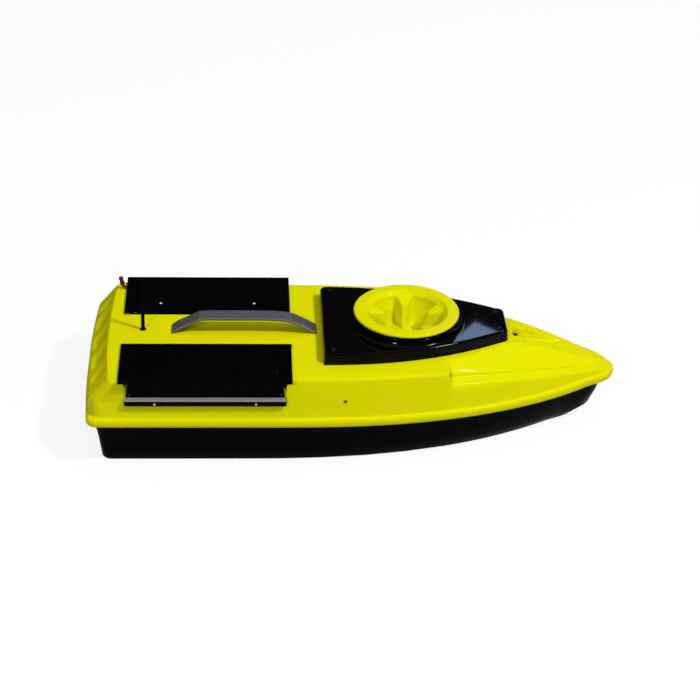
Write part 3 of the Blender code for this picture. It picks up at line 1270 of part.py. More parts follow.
def make_mount(finish):
    """Bracket on the hull's floor that holds both motors by their bosses."""
    foot_z = WALL + GAP
    bracket = box("motor_mount", (MOTOR_MOUNT_X, -MOUNT_WIDTH / 2, foot_z),
                  (MOTOR_MOUNT_X + MOUNT_PLATE, MOUNT_WIDTH / 2, foot_z + MOUNT_HEIGHT), finish)
    join(bracket, box("mount_foot", (MOTOR_MOUNT_X - MOUNT_FOOT, -MOUNT_WIDTH / 2, foot_z),
                      (MOTOR_MOUNT_X + MOUNT_PLATE / 2, MOUNT_WIDTH / 2, foot_z + MOUNT_PLATE)))
    for side, hand in SIDES:
        y = side * DRIVE_Y
        cut(bracket, rod("boss_hole_" + hand, (MOTOR_MOUNT_X - MARGIN, y, DRIVE_Z),
                         (MOTOR_MOUNT_X + MOUNT_PLATE + MARGIN, y, DRIVE_Z), MOTOR_BOSS_RADIUS + GAP))


def make_battery(tray_finish, wrap):
    """Battery pack standing in an open tray on the hull's floor."""
    length, width, height = BATTERY_SIZE
    foot_z = WALL + GAP
    side = GAP + TRAY_WALL
    tray = box("battery_tray", (BATTERY_X - length / 2 - side, -width / 2 - side, foot_z),
               (BATTERY_X + length / 2 + side, width / 2 + side, foot_z + TRAY_HEIGHT), tray_finish)
    cut(tray, box("tray_space", (BATTERY_X - length / 2 - GAP, -width / 2 - GAP, foot_z + TRAY_WALL),
                  (BATTERY_X + length / 2 + GAP, width / 2 + GAP, foot_z + TRAY_HEIGHT + MARGIN)))
    seat = foot_z + TRAY_WALL + GAP
    pack = box("battery", (BATTERY_X - length / 2, -width / 2, seat),
               (BATTERY_X + length / 2, width / 2, seat + height), wrap)
    soften(pack, TRAY_WALL)


def make_control(finish):
    """Case of the receiver and the speed controllers, on the hull's floor."""
    length, width, height = CONTROL_SIZE
    foot_z = WALL + GAP
    case = box("control_box", (CONTROL_X - length / 2, -width / 2, foot_z),
               (CONTROL_X + length / 2, width / 2, foot_z + height), finish)
    soften(case, TRAY_WALL)


def soften(obj, width):
    """Round an object's edges."""
    edge = obj.modifiers.new("edge", "BEVEL")
    edge.width = width
    edge.segments = EDGE_SEGMENTS


SIDES = ((1, "port"), (-1, "starboard"))
PLAN_GROWTH = (1, 1, 1, 0, 0)  # which plan sizes a wall adds to: inset, stern and bow setback


def make_boat():
    clear_scene()
    yellow = material("yellow_gloss", YELLOW_GLOSS)
    black = material("black_hull", BLACK_HULL)
    gloss = material("black_gloss", BLACK_GLOSS)
    bin_black = material("black_matte", BLACK_MATTE)
    alloy = material("brushed_alloy", BRUSHED_ALLOY)
    steel = material("steel", STEEL)
    black_steel = material("black_steel", BLACK_STEEL)
    brass = material("brass", BRASS)
    rubber = material("rubber", RUBBER)
    red = material("red_gloss", RED_GLOSS)
    lamp = material("lamp_lens", LAMP_LENS)
    wrap = material("battery_wrap", BATTERY_WRAP)
    dark = material("motor_can", MOTOR_CAN)

    make_hull(black)
    make_seal(rubber)
    make_deck(yellow)
    make_hatch(gloss, rubber, black_steel)
    make_cap(yellow, rubber)
    make_handle(alloy, steel)
    for side, hand in SIDES:
        make_hopper(side, hand, bin_black, gloss, alloy, steel, dark)
        make_drive(side, hand, steel, brass, dark, bin_black)
        make_light("headlight_" + hand, headlight_place(side), lamp)
    make_light("bow_light", bow_light_place(), lamp)
    make_antenna(bin_black)
    make_switch(steel, red)
    make_mount(alloy)
    make_battery(bin_black, wrap)
    make_control(bin_black)


make_boat()
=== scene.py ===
# %% [markdown]
# # A bait boat, finished around its CAD frame
# The CAD model gives every piece its place and its joints. This lesson gives it the surfaces of the real
# boat: a vacuum-formed yellow deck, a polished black hatch, a bent metal handle. Pieces that want finer
# curves than the CAD has are drawn again as numpy surfaces over the same sizes. The rest keep their CAD mesh
# and get a finish.

# %% The frame
import json
import math

import bpy
import numpy as np
from mathutils import Matrix, Vector


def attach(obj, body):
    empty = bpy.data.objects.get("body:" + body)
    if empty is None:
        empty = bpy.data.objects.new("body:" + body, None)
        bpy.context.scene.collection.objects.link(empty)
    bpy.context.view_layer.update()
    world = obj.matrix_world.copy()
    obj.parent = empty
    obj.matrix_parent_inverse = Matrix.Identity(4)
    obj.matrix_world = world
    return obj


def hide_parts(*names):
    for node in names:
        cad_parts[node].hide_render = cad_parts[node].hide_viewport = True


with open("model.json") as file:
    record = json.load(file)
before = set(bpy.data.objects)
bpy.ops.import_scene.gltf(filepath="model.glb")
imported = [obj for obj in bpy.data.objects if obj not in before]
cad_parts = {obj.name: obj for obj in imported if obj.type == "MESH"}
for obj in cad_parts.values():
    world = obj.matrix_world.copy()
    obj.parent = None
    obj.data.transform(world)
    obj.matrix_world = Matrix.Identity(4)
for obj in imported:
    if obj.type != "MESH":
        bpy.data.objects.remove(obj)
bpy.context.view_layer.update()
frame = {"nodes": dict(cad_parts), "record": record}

SLOT_OF = {part["node"]: part["material_slot"] for part in frame["record"]["subparts"]}
print(len(frame["nodes"]), "nodes")

# %% [markdown]
# ## Grids of points
# Each new piece is a function of two parameters sampled on a grid: rows run along one, columns along the
# other. Points could be pushed about by hand in Edit Mode, but a formula keeps its sizes in one place. `skin`
# turns one or more grids into a single mesh and welds the points where grids meet, so that light runs over
# the seams. A face whose corners coincide, as at the middle of a disc, becomes a triangle.

# %% From grids to a mesh
WELD_PLACES = 6  # decimals of a metre at which points count as one
WALL_SPLIT = math.radians(40)  # a piece with a wall shades sharp at edges steeper than this


def skin(name, grids, body, slot, stands_for=(), wall=0.0, look=None):
    """A smooth mesh from grids shaped (rows, columns, 3).

    Every cell of a grid is a face, and its outside is where columns cross rows by the right hand.
    """
    points = np.concatenate([grid.reshape(-1, 3) for grid in grids])
    starts = np.cumsum([0] + [grid.shape[0] * grid.shape[1] for grid in grids])
    quads = []
    for grid, start in zip(grids, starts):
        index = np.arange(grid.shape[0] * grid.shape[1]).reshape(grid.shape[:2]) + start
        corners = (index[:-1, :-1], index[:-1, 1:], index[1:, 1:], index[1:, :-1])
        quads.append(np.stack(corners, axis=-1).reshape(-1, 4))
    places = points.round(WELD_PLACES)
    _, first, welded = np.unique(places, axis=0, return_index=True, return_inverse=True)
    quads = welded.reshape(-1)[np.concatenate(quads)]
    distinct = 1 + (np.diff(np.sort(quads, axis=1), axis=1) > 0).sum(axis=1)
    triangles = [list(dict.fromkeys(quad)) for quad in quads[distinct == 3].tolist()]
    mesh = bpy.data.meshes.new(name)
    mesh.from_pydata(points[first], [], quads[distinct == 4].tolist() + triangles)
    mesh.validate()
    mesh.shade_smooth()
    piece = bpy.data.objects.new(name, mesh)
    bpy.context.scene.collection.objects.link(piece)
    if wall:
        shell = piece.modifiers.new("wall", "SOLIDIFY")
        shell.thickness = wall
        shell.offset = -1
        split = piece.modifiers.new("split", "EDGE_SPLIT")
        split.split_angle = WALL_SPLIT
    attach(piece, body)
    if stands_for:
        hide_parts(*stands_for)
    mesh.materials.append(FINISHES[look or slot])
    print(name, len(mesh.vertices), "points", len(mesh.polygons), "faces")


print("points that agree to", WELD_PLACES, "decimals of a metre become one")

# %% [markdown]
# ## Curves between lines
# A moulded wall is a set of lines round the boat with bends between them. A Bevel modifier could round the
# bends, but it needs clean edges and one width. Here each bend is a quadratic curve worked out with the rows,
# so its size can differ from line to line. Round pieces are profiles turned about an axis, as on a lathe.

# %% Smooth steps, bent rows and turned profiles
BEND_LEAD = 1.6  # a bend starts this much further from its corner than it ends
BEND_MOST = 0.9  # and takes at most this share of the way that leads to the corner
MOSTLY_X = 0.5  # an axis that leans further than this towards x is crossed with y


def smooth_step(value, start, end):
    """0 before start, 1 after end, and an S curve between them."""
    share = np.clip((value - start) / (end - start), 0, 1)
    return share * share * (3 - 2 * share)


def rounded(lines, blends, straight=6, bend=6):
    """Rows through a list of lines (columns, 3), with a quadratic curve at each inner line.

    A blend is the share of the way to the next line that the curve takes. A blend of 0 is a sharp corner.
    """
    rows = [lines[0]]
    here = lines[0]
    for corner, after, blend in zip(lines[1:-1], lines[2:], blends):
        start = corner + (here - corner) * min(blend * BEND_LEAD, BEND_MOST) if blend else corner
        end = corner + (after - corner) * blend
        rows += [here + (start - here) * share for share in np.linspace(0, 1, straight + 1)[1:]]
        if blend:
            for share in np.linspace(0, 1, bend + 1)[1:]:
                low = start + (corner - start) * share
                high = corner + (end - corner) * share
                rows.append(low + (high - low) * share)
        here = end
    rows += [here + (lines[-1] - here) * share for share in np.linspace(0, 1, straight + 1)[1:]]
    return np.stack(rows)


def turned(profile, centre, axis=(0, 0, 1), columns=64):
    """A profile of (radius, height) rows turned about an axis through a centre, from its foot to its tip."""
    axis = Vector(axis).normalized()
    across = Vector((0, 1, 0)) if abs(axis.x) > MOSTLY_X else Vector((1, 0, 0))
    first = axis.cross(across).normalized()
    second = axis.cross(first)
    angle = np.linspace(0, 2 * np.pi, columns + 1)
    radius, height = np.array(profile, float).T[:, :, None]
    ring = np.cos(angle)[:, None] * np.array(first) + np.sin(angle)[:, None] * np.array(second)
    return np.array(centre) + radius[..., None] * ring + height[..., None] * np.array(axis)


def dome(radius, height, rows=6):
    """Profile of a low button: a short wall, then a quarter of an ellipse up to the tip."""
    angle = np.linspace(0, np.pi / 2, rows)
    wall = [(radius, -height / 2)]
    return wall + list(zip(radius * np.cos(angle), height * np.sin(angle)))


print("a button's profile has", len(dome(1.0, 1.0)), "rows")

# %% [markdown]
# ## Finishes
# Moulded plastic is never one flat colour: it has a faint cloudiness, an orange-peel skin and slight wear.
# Pictures of plastic could be wrapped round each piece, but a pattern made of nodes needs no file and stays
# sharp close up. Each finish is a Principled shader with noise in object space on its colour, its roughness
# and its surface. Brushed metal stretches the same noise along the brushing.

# %% Finish helper
NOISE_DETAIL = 3.0
POLISH_SPREAD = 0.15  # share by which the roughness rises and falls
RELIEF_DEPTH = 0.0005


def finish(name, colour, rough, metallic=0.0, vary=0.06, grain=90.0, bump=0.02, shine=0.2, stretch=(1, 1, 1)):
    """A Principled material whose colour, roughness and normal follow one noise pattern."""
    made = bpy.data.materials.new(name)
    made.use_nodes = True
    nodes = made.node_tree.nodes
    link = made.node_tree.links.new
    shader = nodes["Principled BSDF"]
    shader.inputs["Metallic"].default_value = metallic
    shader.inputs["Specular IOR Level"].default_value = shine
    place = nodes.new("ShaderNodeTexCoord")
    mapping = nodes.new("ShaderNodeMapping")
    mapping.inputs["Scale"].default_value = stretch
    noise = nodes.new("ShaderNodeTexNoise")
    noise.inputs["Scale"].default_value = grain
    noise.inputs["Detail"].default_value = NOISE_DETAIL
    tint = nodes.new("ShaderNodeValToRGB")
    tint.color_ramp.elements[0].color = (*[c * (1 - vary) for c in colour], 1)
    tint.color_ramp.elements[1].color = (*[min(c * (1 + vary), 1) for c in colour], 1)
    polish = nodes.new("ShaderNodeMapRange")
    polish.inputs["To Min"].default_value = rough * (1 - POLISH_SPREAD)
    polish.inputs["To Max"].default_value = rough * (1 + POLISH_SPREAD)
    relief = nodes.new("ShaderNodeBump")
    relief.inputs["Strength"].default_value = bump
    relief.inputs["Distance"].default_value = RELIEF_DEPTH
    link(place.outputs["Object"], mapping.inputs["Vector"])
    link(mapping.outputs["Vector"], noise.inputs["Vector"])
    link(noise.outputs["Fac"], tint.inputs["Fac"])
    link(noise.outputs["Fac"], polish.inputs["Value"])
    link(noise.outputs["Fac"], relief.inputs["Height"])
    link(tint.outputs["Color"], shader.inputs["Base Color"])
    link(polish.outputs["Result"], shader.inputs["Roughness"])
    link(relief.outputs["Normal"], shader.inputs["Normal"])
    return made


# %% [markdown]
# ## One finish for each material slot
# Three variants come on top of the slots' own finishes: the hatch is polished more than other black pieces,
# and the sill strips and the port lid's screws are painted paler than other metal. On the strips the paler,
# less metallic alloy is a painted reflection, and on the port screws the pale steel is a painted glint. The
# blacks are given very little reflection straight on, or the white room would turn them grey.

# %% The finishes
DEEP_BLACK, MATT_BLACK = (0.0008, 0.0008, 0.0009), (0.0015, 0.0015, 0.0015)
YELLOW, RED = (0.70, 0.68, 0.0008), (0.17, 0.004, 0.006)
# The paler, less metallic alloy paints in the reflection that the sill strips' face catches.
GREY_ALLOY, REFLECTION_PAINTED_ALLOY = (0.19, 0.19, 0.22), (0.36, 0.36, 0.35)
# The pale steel paints in the glint on the port lid's screws.
STEEL, GLINT_PAINTED_STEEL, DARK_STEEL = (0.50, 0.50, 0.51), (0.80, 0.80, 0.80), (0.020, 0.020, 0.022)
BRASS, LAMP_BLACK = (0.62, 0.47, 0.20), (0.002, 0.002, 0.002)
WRAP_BLUE, CAN_GREY = (0.02, 0.06, 0.22), (0.20, 0.20, 0.21)
BRUSHED = (0.06, 3, 3)  # long streaks fore and aft, fine ones across

LOOKS = {
    "hull_black": dict(colour=DEEP_BLACK, rough=0.34, vary=0.3, bump=0.01, shine=0.015),
    "deck_yellow": dict(colour=YELLOW, rough=0.12, vary=0.025, grain=60.0, bump=0.01, shine=0.02),
    "gloss_black": dict(colour=DEEP_BLACK, rough=0.08, vary=0.3, grain=70.0, bump=0.01, shine=0.02),
    "hatch_gloss": dict(colour=DEEP_BLACK, rough=0.03, vary=0.3, grain=70.0, bump=0.002, shine=0.08),
    "bin_black": dict(colour=MATT_BLACK, rough=0.45, vary=0.3, grain=400.0, bump=0.06, shine=0.03),
    "rubber": dict(colour=MATT_BLACK, rough=0.55, vary=0.3, grain=500.0, bump=0.05, shine=0.03),
    "alloy": dict(colour=GREY_ALLOY, rough=0.38, metallic=0.7,
                  vary=0.16, grain=260.0, bump=0.06, stretch=BRUSHED),
    # Sill strips: a painted reflection, paler and less metallic than the alloy above.
    "reflection_painted_alloy": dict(colour=REFLECTION_PAINTED_ALLOY, rough=0.50, metallic=0.4,
                         vary=0.12, grain=260.0, bump=0.06, stretch=BRUSHED),
    "steel": dict(colour=STEEL, rough=0.28, metallic=1.0, vary=0.12, grain=700.0, bump=0.05),
    # Port lid screws: a painted glint, pale and barely metallic.
    "glint_painted_steel": dict(colour=GLINT_PAINTED_STEEL, rough=0.30, metallic=0.3, vary=0.08, grain=700.0, bump=0.03),
    "black_steel": dict(colour=DARK_STEEL, rough=0.35, metallic=1.0, vary=0.15, grain=700.0, bump=0.05),
    "brass": dict(colour=BRASS, rough=0.32, metallic=1.0, vary=0.12, grain=700.0, bump=0.05),
    "red": dict(colour=RED, rough=0.25, grain=200.0, shine=0.1),
    "lamp": dict(colour=LAMP_BLACK, rough=0.10, grain=300.0),
    "battery_wrap": dict(colour=WRAP_BLUE, rough=0.40, grain=120.0),
    "motor_can": dict(colour=CAN_GREY, rough=0.35, metallic=1.0, vary=0.12, grain=500.0),
}
FINISHES = {name: finish(name, **look) for name, look in LOOKS.items()}
print(len(FINISHES), "finishes")

# %% [markdown]
# ## CAD pieces that stay
# Pins, bins, lids, doors, motors and the hull keep their CAD mesh, because it already has their true shape.
# The import splits every face, so a Weld joins them again. Sawn plates then get a small Bevel, and Weighted
# Normals so that their faces still reflect as flat ones. On the others an Edge Split keeps the shading crisp
# at true edges.

# %% Finish the CAD nodes
LID_EDGE, DOOR_EDGE, SILL_EDGE = 0.0006, 0.0005, 0.0003
EDGE_STEPS = 2
WELD_GAP = 1e-5
CAD_SPLIT = math.radians(32)
EDGE = {"hopper_lid_port": LID_EDGE, "hopper_lid_starboard": LID_EDGE,
        "drop_door_port": DOOR_EDGE, "drop_door_starboard": DOOR_EDGE,
        "sill_strip_port": SILL_EDGE, "sill_strip_starboard": SILL_EDGE}
# The sill strips take the paler alloy, a painted reflection of the light on their face.
LOOK = {"sill_strip_port": "reflection_painted_alloy", "sill_strip_starboard": "reflection_painted_alloy"}
for node, piece in frame["nodes"].items():
    piece.data.materials.clear()
    piece.data.materials.append(FINISHES[LOOK.get(node, SLOT_OF[node])])
    piece.data.polygons.foreach_set("use_smooth", np.ones(len(piece.data.polygons), bool))
    weld = piece.modifiers.new("weld", "WELD")
    weld.merge_threshold = WELD_GAP
    if node in EDGE:
        bevel = piece.modifiers.new("edge", "BEVEL")
        bevel.width = EDGE[node]
        bevel.segments = EDGE_STEPS
        bevel.limit_method = "ANGLE"
        even = piece.modifiers.new("even", "WEIGHTED_NORMAL")
        even.keep_sharp = True
    else:
        split = piece.modifiers.new("split", "EDGE_SPLIT")
        split.split_angle = CAD_SPLIT
print(len(EDGE), "bevelled plates among", len(frame["nodes"]), "CAD pieces")

# %% [markdown]
# ## The deck's plan
# Seen from above the deck is a rectangle aft that narrows to the bow on a power curve: half the width is
# half x (1 - t^2.4)^n. Here t runs from 0, where the side starts to turn in, to 1 at the nose, and n is 0.8
# and drops a little at the nose to make it blunt. Every level of the deck follows the same curve a little
# further in. A Bezier outline could be offset instead, but then its levels would not share their columns.
# Here they do, and some columns lie exactly on the edges of the hopper openings, the hatch hole and the
# trough.

# %% Places in the plan
BOW = 0.3037  # the nose is this far ahead of the middle, the stern as far behind
HALF_BEAM = 0.1220
DECK_Z = 0.1054  # height of the deck's flat
LIP_Z = 0.0506  # height of the lip's underside
NOSE_Z = 0.0614  # height of the deck at the nose
STEP = 0.1035  # where the shoulder steps down
DRAFT = 0.0030  # half the run of a moulded step's slope
OPEN_AFT, OPEN_FORE, OPEN_Y = -0.25665, -0.07835, 0.03420
GROOVE_AFT, GROOVE_FORE, GROOVE_Y = -0.2632, -0.0718, 0.0394
GROOVE_LEAN, GROOVE_DEPTH = 0.0006, 0.004
HATCH_REAR, HATCH_FRONT, HATCH_HALF = -0.0370, 0.1740, 0.0785
HOLE_REAR, HOLE_FRONT = -0.0280, 0.1650
TROUGH_AFT, TROUGH_FORE, TROUGH_HALF = 0.1843, 0.2430, 0.0090
TROUGH_SLOPE = 0.0042  # half the length of the slope at the trough's rear end
CREST_BOW = BOW - 0.0160  # where the deck's crest ends
HAIR = 1e-6  # less than any gap between columns
print("deck", 2 * BOW, "m long,", 2 * HALF_BEAM, "m wide,", DECK_Z, "m high")

# %% Columns shared by every level
# Each span ends with its number of columns.
INNER = (0.0150, 0.0295, 0.0160, 0.010)  # the flat's edge aft: inside side, stern and bow, and corner radius
OPEN_COLUMNS = 28  # from the middle to the hopper opening's inner edge
BEHIND_COLUMNS = 3  # from the stern's corner to the opening
NOSE_CROWD = 1.5  # columns crowd towards the nose by this power
at_opening = OPEN_Y / (HALF_BEAM - INNER[0] - INNER[3])
stern_share = np.concatenate([np.linspace(0, at_opening, OPEN_COLUMNS)[:-1], np.linspace(at_opening, 1, 45)])
turn = np.linspace(0, np.pi / 2, 10)
opening_x = np.linspace(OPEN_AFT, OPEN_FORE, 8)
ahead_x = np.concatenate([
    np.linspace(OPEN_FORE, GROOVE_FORE, 4),
    np.linspace(GROOVE_FORE + GROOVE_LEAN, HOLE_REAR, 9)[:-1],
    np.linspace(HOLE_REAR, STEP - DRAFT, 26),
])
fore_x = np.concatenate([
    np.linspace(STEP - DRAFT, STEP + DRAFT, 9)[:-1],
    np.linspace(STEP + DRAFT, HOLE_FRONT, 24)[:-1],
    np.linspace(HOLE_FRONT, TROUGH_AFT - TROUGH_SLOPE, 10)[:-1],
    np.linspace(TROUGH_AFT - TROUGH_SLOPE, TROUGH_AFT + TROUGH_SLOPE, 12)[:-1],
    np.linspace(TROUGH_AFT + TROUGH_SLOPE, TROUGH_FORE, 26)[:-1],
    CREST_BOW - (CREST_BOW - TROUGH_FORE) * np.linspace(1, 0, 22) ** NOSE_CROWD,
])
fore_share = (fore_x - STEP + DRAFT) / (CREST_BOW - STEP + DRAFT)
AFT_COLUMN = len(stern_share) + len(turn) + BEHIND_COLUMNS
FORE_COLUMN = AFT_COLUMN + len(opening_x) - 1
STERN = slice(0, AFT_COLUMN - BEHIND_COLUMNS)
BEHIND = slice(0, AFT_COLUMN + 1)
AHEAD = slice(FORE_COLUMN, None)
before_step = np.zeros(FORE_COLUMN + len(ahead_x))
is_fore = np.concatenate([before_step, smooth_step(fore_x[1:], STEP - DRAFT, STEP + DRAFT)])
print(len(is_fore), "columns on each side")

# %% Plan lines
STERN_CURVE = 0.005  # how far the stern's middle stands out behind its ends
TURN_IN = 0.3840  # the sides start to turn in this far behind the nose
SIDE_POWER, SIDE_BLUNT = 2.4, 0.8
NOSE_BLUNT, NOSE_START = 0.17, 0.9


def plan(inset, stern, bow, corner):
    """Port half of a plan line as (columns, 2): across the stern, round its corner, along the side.

    The stern is a parabola and its corner a quarter circle. The side is half x (1 - t^2.4)^n.
    """
    half = HALF_BEAM - inset
    tip = BOW - bow
    aft = -BOW + stern
    across = stern_share * (half - corner)
    corner_x = aft + STERN_CURVE * (1 - corner / half) ** 2 + corner
    behind_x = np.linspace(corner_x, OPEN_AFT, BEHIND_COLUMNS + 2)[1:-1]
    bow_x = STEP - DRAFT + (tip - STEP + DRAFT) * fore_share
    side_x = np.concatenate([behind_x, opening_x, ahead_x[1:], bow_x[1:]])
    share = np.clip((side_x - BOW + TURN_IN) / (tip - BOW + TURN_IN), 0, 1)
    blunt = SIDE_BLUNT - NOSE_BLUNT * smooth_step(share, NOSE_START, 1.0)
    side_y = half * (1 - share ** SIDE_POWER) ** blunt
    x = np.concatenate([aft + STERN_CURVE * (across / half) ** 2, corner_x - corner * np.cos(turn), side_x])
    y = np.concatenate([across, half - corner + corner * np.sin(turn), side_y])
    return np.stack([x, y], axis=1)


def at_height(line, z):
    """A plan line lifted to a height, which may change along it."""
    return np.concatenate([line, np.broadcast_to(z, len(line))[:, None]], axis=1)


def mixed(aft, fore):
    """One line aft of the step and another forward of it."""
    return aft + (fore - aft) * is_fore[:, None]


print("outline", len(plan(0, 0, 0, INNER[3])), "points")

# %% [markdown]
# ## The deck's heights
# The flat of the deck stays level as far as the hatch and then falls to the nose. Outside it the shoulder
# steps down at the headlights to a ledge that runs round the fore deck, and the lip below is a rounded bead
# all the way round. Sculpting could give such a shape, but formulas keep it true to the CAD model's.

# %% Heights
SINK, SINK_START = 0.0010, 0.03  # edges sink this much on their way from here to the step
FALL_POWER, PLATEAU_POWER = 1.7, 1.25
HATCH_MARGIN = 0.003  # the level part of the deck reaches this far beyond the hatch
HATCH_FRONT_HALF, HATCH_POWER = 0.0235, 2.3


def nose_share(x):
    """How far an edge has fallen to the nose: 0 at the step, 1 at the nose, by a power of 1.7."""
    return np.clip((x - STEP) / (BOW - STEP), 0, 1) ** FALL_POWER


def falling(x, aft_drop, step_drop):
    """Height of an edge: level, sinking to the step by a square law, then down to the nose."""
    aft = DECK_Z - aft_drop - SINK * np.clip((x - SINK_START) / (STEP - SINK_START), 0, 1) ** 2
    fore = DECK_Z - step_drop + (NOSE_Z - DECK_Z + step_drop) * nose_share(x)
    return aft + (fore - aft) * is_fore


def plateau(x):
    """Height of the deck's middle: level past the hatch, then down to the nose by a power of 1.25."""
    start = HATCH_FRONT + HATCH_MARGIN
    return DECK_Z + (NOSE_Z - DECK_Z) * np.clip((x - start) / (BOW - start), 0, 1) ** PLATEAU_POWER


def hatch_half(x):
    """Half the hatch's width: it narrows forward by a power of 2.3."""
    along = np.clip((x - HATCH_REAR) / (HATCH_FRONT - HATCH_REAR), 0, None)
    return HATCH_HALF * (1 - (1 - HATCH_FRONT_HALF / HATCH_HALF) * along ** HATCH_POWER)


print("the deck's middle is", round(float(plateau(TROUGH_FORE)), 4), "m high at the trough's end")

# %% Lip, shoulder and wall
# A line is given by how far it lies inside the outline at the side, the stern and the bow, and by its
# corner's radius. The lip's rows are given by inset and rise.
LIP_ROWS = ((0.0065, 0), (0.0012, 0), (0, 0.0035), (0.0010, 0.0088), (0.0050, 0.0105))
LIP_CORNER = 0.012
LIP_TOP = LIP_Z + LIP_ROWS[-1][1]
SHOULDER, AFT_SHOULDER = (0.0130, 0.0235, 0.0060, 0.014), (0.0085, 0.0235, 0.0060, 0.010)
SHOULDER_DROP, LEDGE_DROP = 0.0026, 0.0170  # below the flat, aft of the step and forward of it
WALL_EDGE, EDGE_SHARE = (0.0086, 0.0035, 0.00545, 0.0129), 0.45  # its height is a share of the wall's
SILL_Z = 0.0767  # the hopper openings go down to here

lip = [at_height(plan(inset, inset, inset, LIP_CORNER), LIP_Z + rise) for inset, rise in LIP_ROWS]
shoulder = plan(*SHOULDER)
shoulder = at_height(shoulder, falling(shoulder[:, 0], SHOULDER_DROP, LEDGE_DROP))
aft_shoulder = at_height(plan(*AFT_SHOULDER), DECK_Z - SHOULDER_DROP)
edge = plan(*WALL_EDGE)
edge = at_height(edge, lip[-1][:, 2] + EDGE_SHARE * (shoulder[:, 2] - lip[-1][:, 2]))
cut_line = lip[-1] + (edge - lip[-1]) * ((SILL_Z - LIP_TOP) / (edge[0, 2] - LIP_TOP))
print("wall from", round(LIP_TOP, 4), "to", round(float(shoulder[0, 2]), 4), "m")

# %% Root, crest and flat
ROOT_AFT, ROOT_FORE = (0.01425, 0.0245, 0.0085, 0.014), (0.0260, 0.0255, 0.0160, 0.014)
ROOT_DROP_AFT, ROOT_DROP = 0.0013, 0.0048  # below the crest, aft of the step and just forward of it
CREST_AFT, CREST_FORE = (0.0155, 0.0255, 0.0110, 0.014), (0.0272, 0.0255, 0.0160, 0.014)
CREST_DROP = 0.0100  # below the flat, just forward of the step
AFT_CREST = (0.0105, 0.0255, 0.0110, 0.010)
FLAT_INSET, EASE_RUN = 0.013, 0.07  # the flat's edge starts this far inside the crest and eases over this run
RIM, RIM_SHARE = 0.008, 0.3  # the flat's outer band, no wider than this share of the flat

root = mixed(plan(*ROOT_AFT), plan(*ROOT_FORE))
root_drop = ROOT_DROP * (1 - nose_share(root[:, 0]))
root_drop = ROOT_DROP_AFT + (root_drop - ROOT_DROP_AFT) * is_fore
root = at_height(root, falling(root[:, 0], 0.0, CREST_DROP) - root_drop)
crest = mixed(plan(*CREST_AFT), plan(*CREST_FORE))
crest = at_height(crest, falling(crest[:, 0], 0.0, CREST_DROP))
crest[-1, 1] = 0
flat = crest.copy()
margin = np.minimum(crest[:, 1] - DRAFT, hatch_half(crest[:, 0]) + HATCH_MARGIN)
wide = crest[:, 1] - FLAT_INSET
eased = wide + (margin - wide) * smooth_step(crest[:, 0], STEP, STEP + EASE_RUN)
flat[:, 1] = margin + (np.maximum(eased, crest[:, 1] / 2) - margin) * is_fore
flat[:, 1] = np.clip(flat[:, 1], 0, crest[:, 1])
flat[:, 2] = np.maximum(plateau(crest[:, 0]), crest[:, 2])
flat_in = flat.copy()
flat_in[:, 1] -= np.minimum(RIM, RIM_SHARE * flat[:, 1])
aft_crest = at_height(plan(*AFT_CREST), DECK_Z)
inner = at_height(plan(*INNER), DECK_Z)
middle = inner[OPEN_COLUMNS - 1::-1, 1]
print(len(crest), "columns,", len(middle), "of them between the hoppers on each side")

# %% [markdown]
# ## The deck's details
# The stern's slope has wide pockets pressed into it, drawn as a depth that depends on the place across the
# boat. At a hopper opening's ends the wall turns in. Ahead of the hatch lies a narrow trough. Booleans could
# cut all three, but would leave sharp rims on a sheet that was drawn over a mould, so they are drawn with the
# deck's own grids.

# %% Pockets in the stern's slope
POCKET_PITCH, POCKET_DEPTH = 0.0427, 0.0030
POCKET_ROWS = 22
POCKET_SIDE = (-0.5, 1.0)  # levels of the wave between which a pocket's side rises to the rib
POCKET_FOOT, POCKET_HEAD = (0.0, 0.35), (0.55, 1.0)  # shares of the slope over which pockets fade
POCKET_END = (0.079, 0.088)  # places across over which the last pocket fades
SLOPE_IN = (0.75, -0.66)  # x and z of the way into the slope


def pressed(band, first_row):
    """Wide pockets in the stern's slope.

    A cosine across the boat, held flat at its troughs, gives the depth by which points go inwards.
    """
    rows = slice(first_row, first_row + POCKET_ROWS)
    share = np.linspace(0, 1, POCKET_ROWS)[:, None]
    y = band[rows, :, 1]
    wave = np.cos(2 * np.pi * (y - POCKET_PITCH / 2) / POCKET_PITCH)
    depth = POCKET_DEPTH * (1 - smooth_step(wave, *POCKET_SIDE))
    depth = depth * smooth_step(share, *POCKET_FOOT) * (1 - smooth_step(share, *POCKET_HEAD))
    depth = depth * (1 - smooth_step(y, *POCKET_END))
    depth[:, STERN.stop:] = 0
    out = band.copy()
    out[rows, :, 0] += SLOPE_IN[0] * depth
    out[rows, :, 2] += SLOPE_IN[1] * depth
    return out


print("pockets", POCKET_DEPTH, "m deep")

# %% End walls of the hopper openings
END_WALL = 0.013  # how far the wall reaches inboard
END_COLUMNS = 8
END_SHIFT, END_BEND = 0.0032, (0.004, 0.012)  # it shifts this far, between these depths


def turned_in(line, way):
    """The end wall of a hopper opening: the cut edge carried inboard, and shifted along by an S curve."""
    inboard = np.linspace(0, END_WALL, END_COLUMNS)
    shift = way * END_SHIFT * smooth_step(inboard, *END_BEND)
    return line[:, None] + np.stack([shift, -inboard, np.zeros(END_COLUMNS)], axis=-1)


print("end walls", END_WALL, "m deep")

# %% Trough
TROUGH_DEPTH = 0.013
TROUGH_OUT, TROUGH_IN = TROUGH_HALF + 0.0007, TROUGH_HALF - 0.0005  # head and foot of its side walls
TROUGH_FULL = 0.024  # where the flat is narrower than this on a side, the columns close in


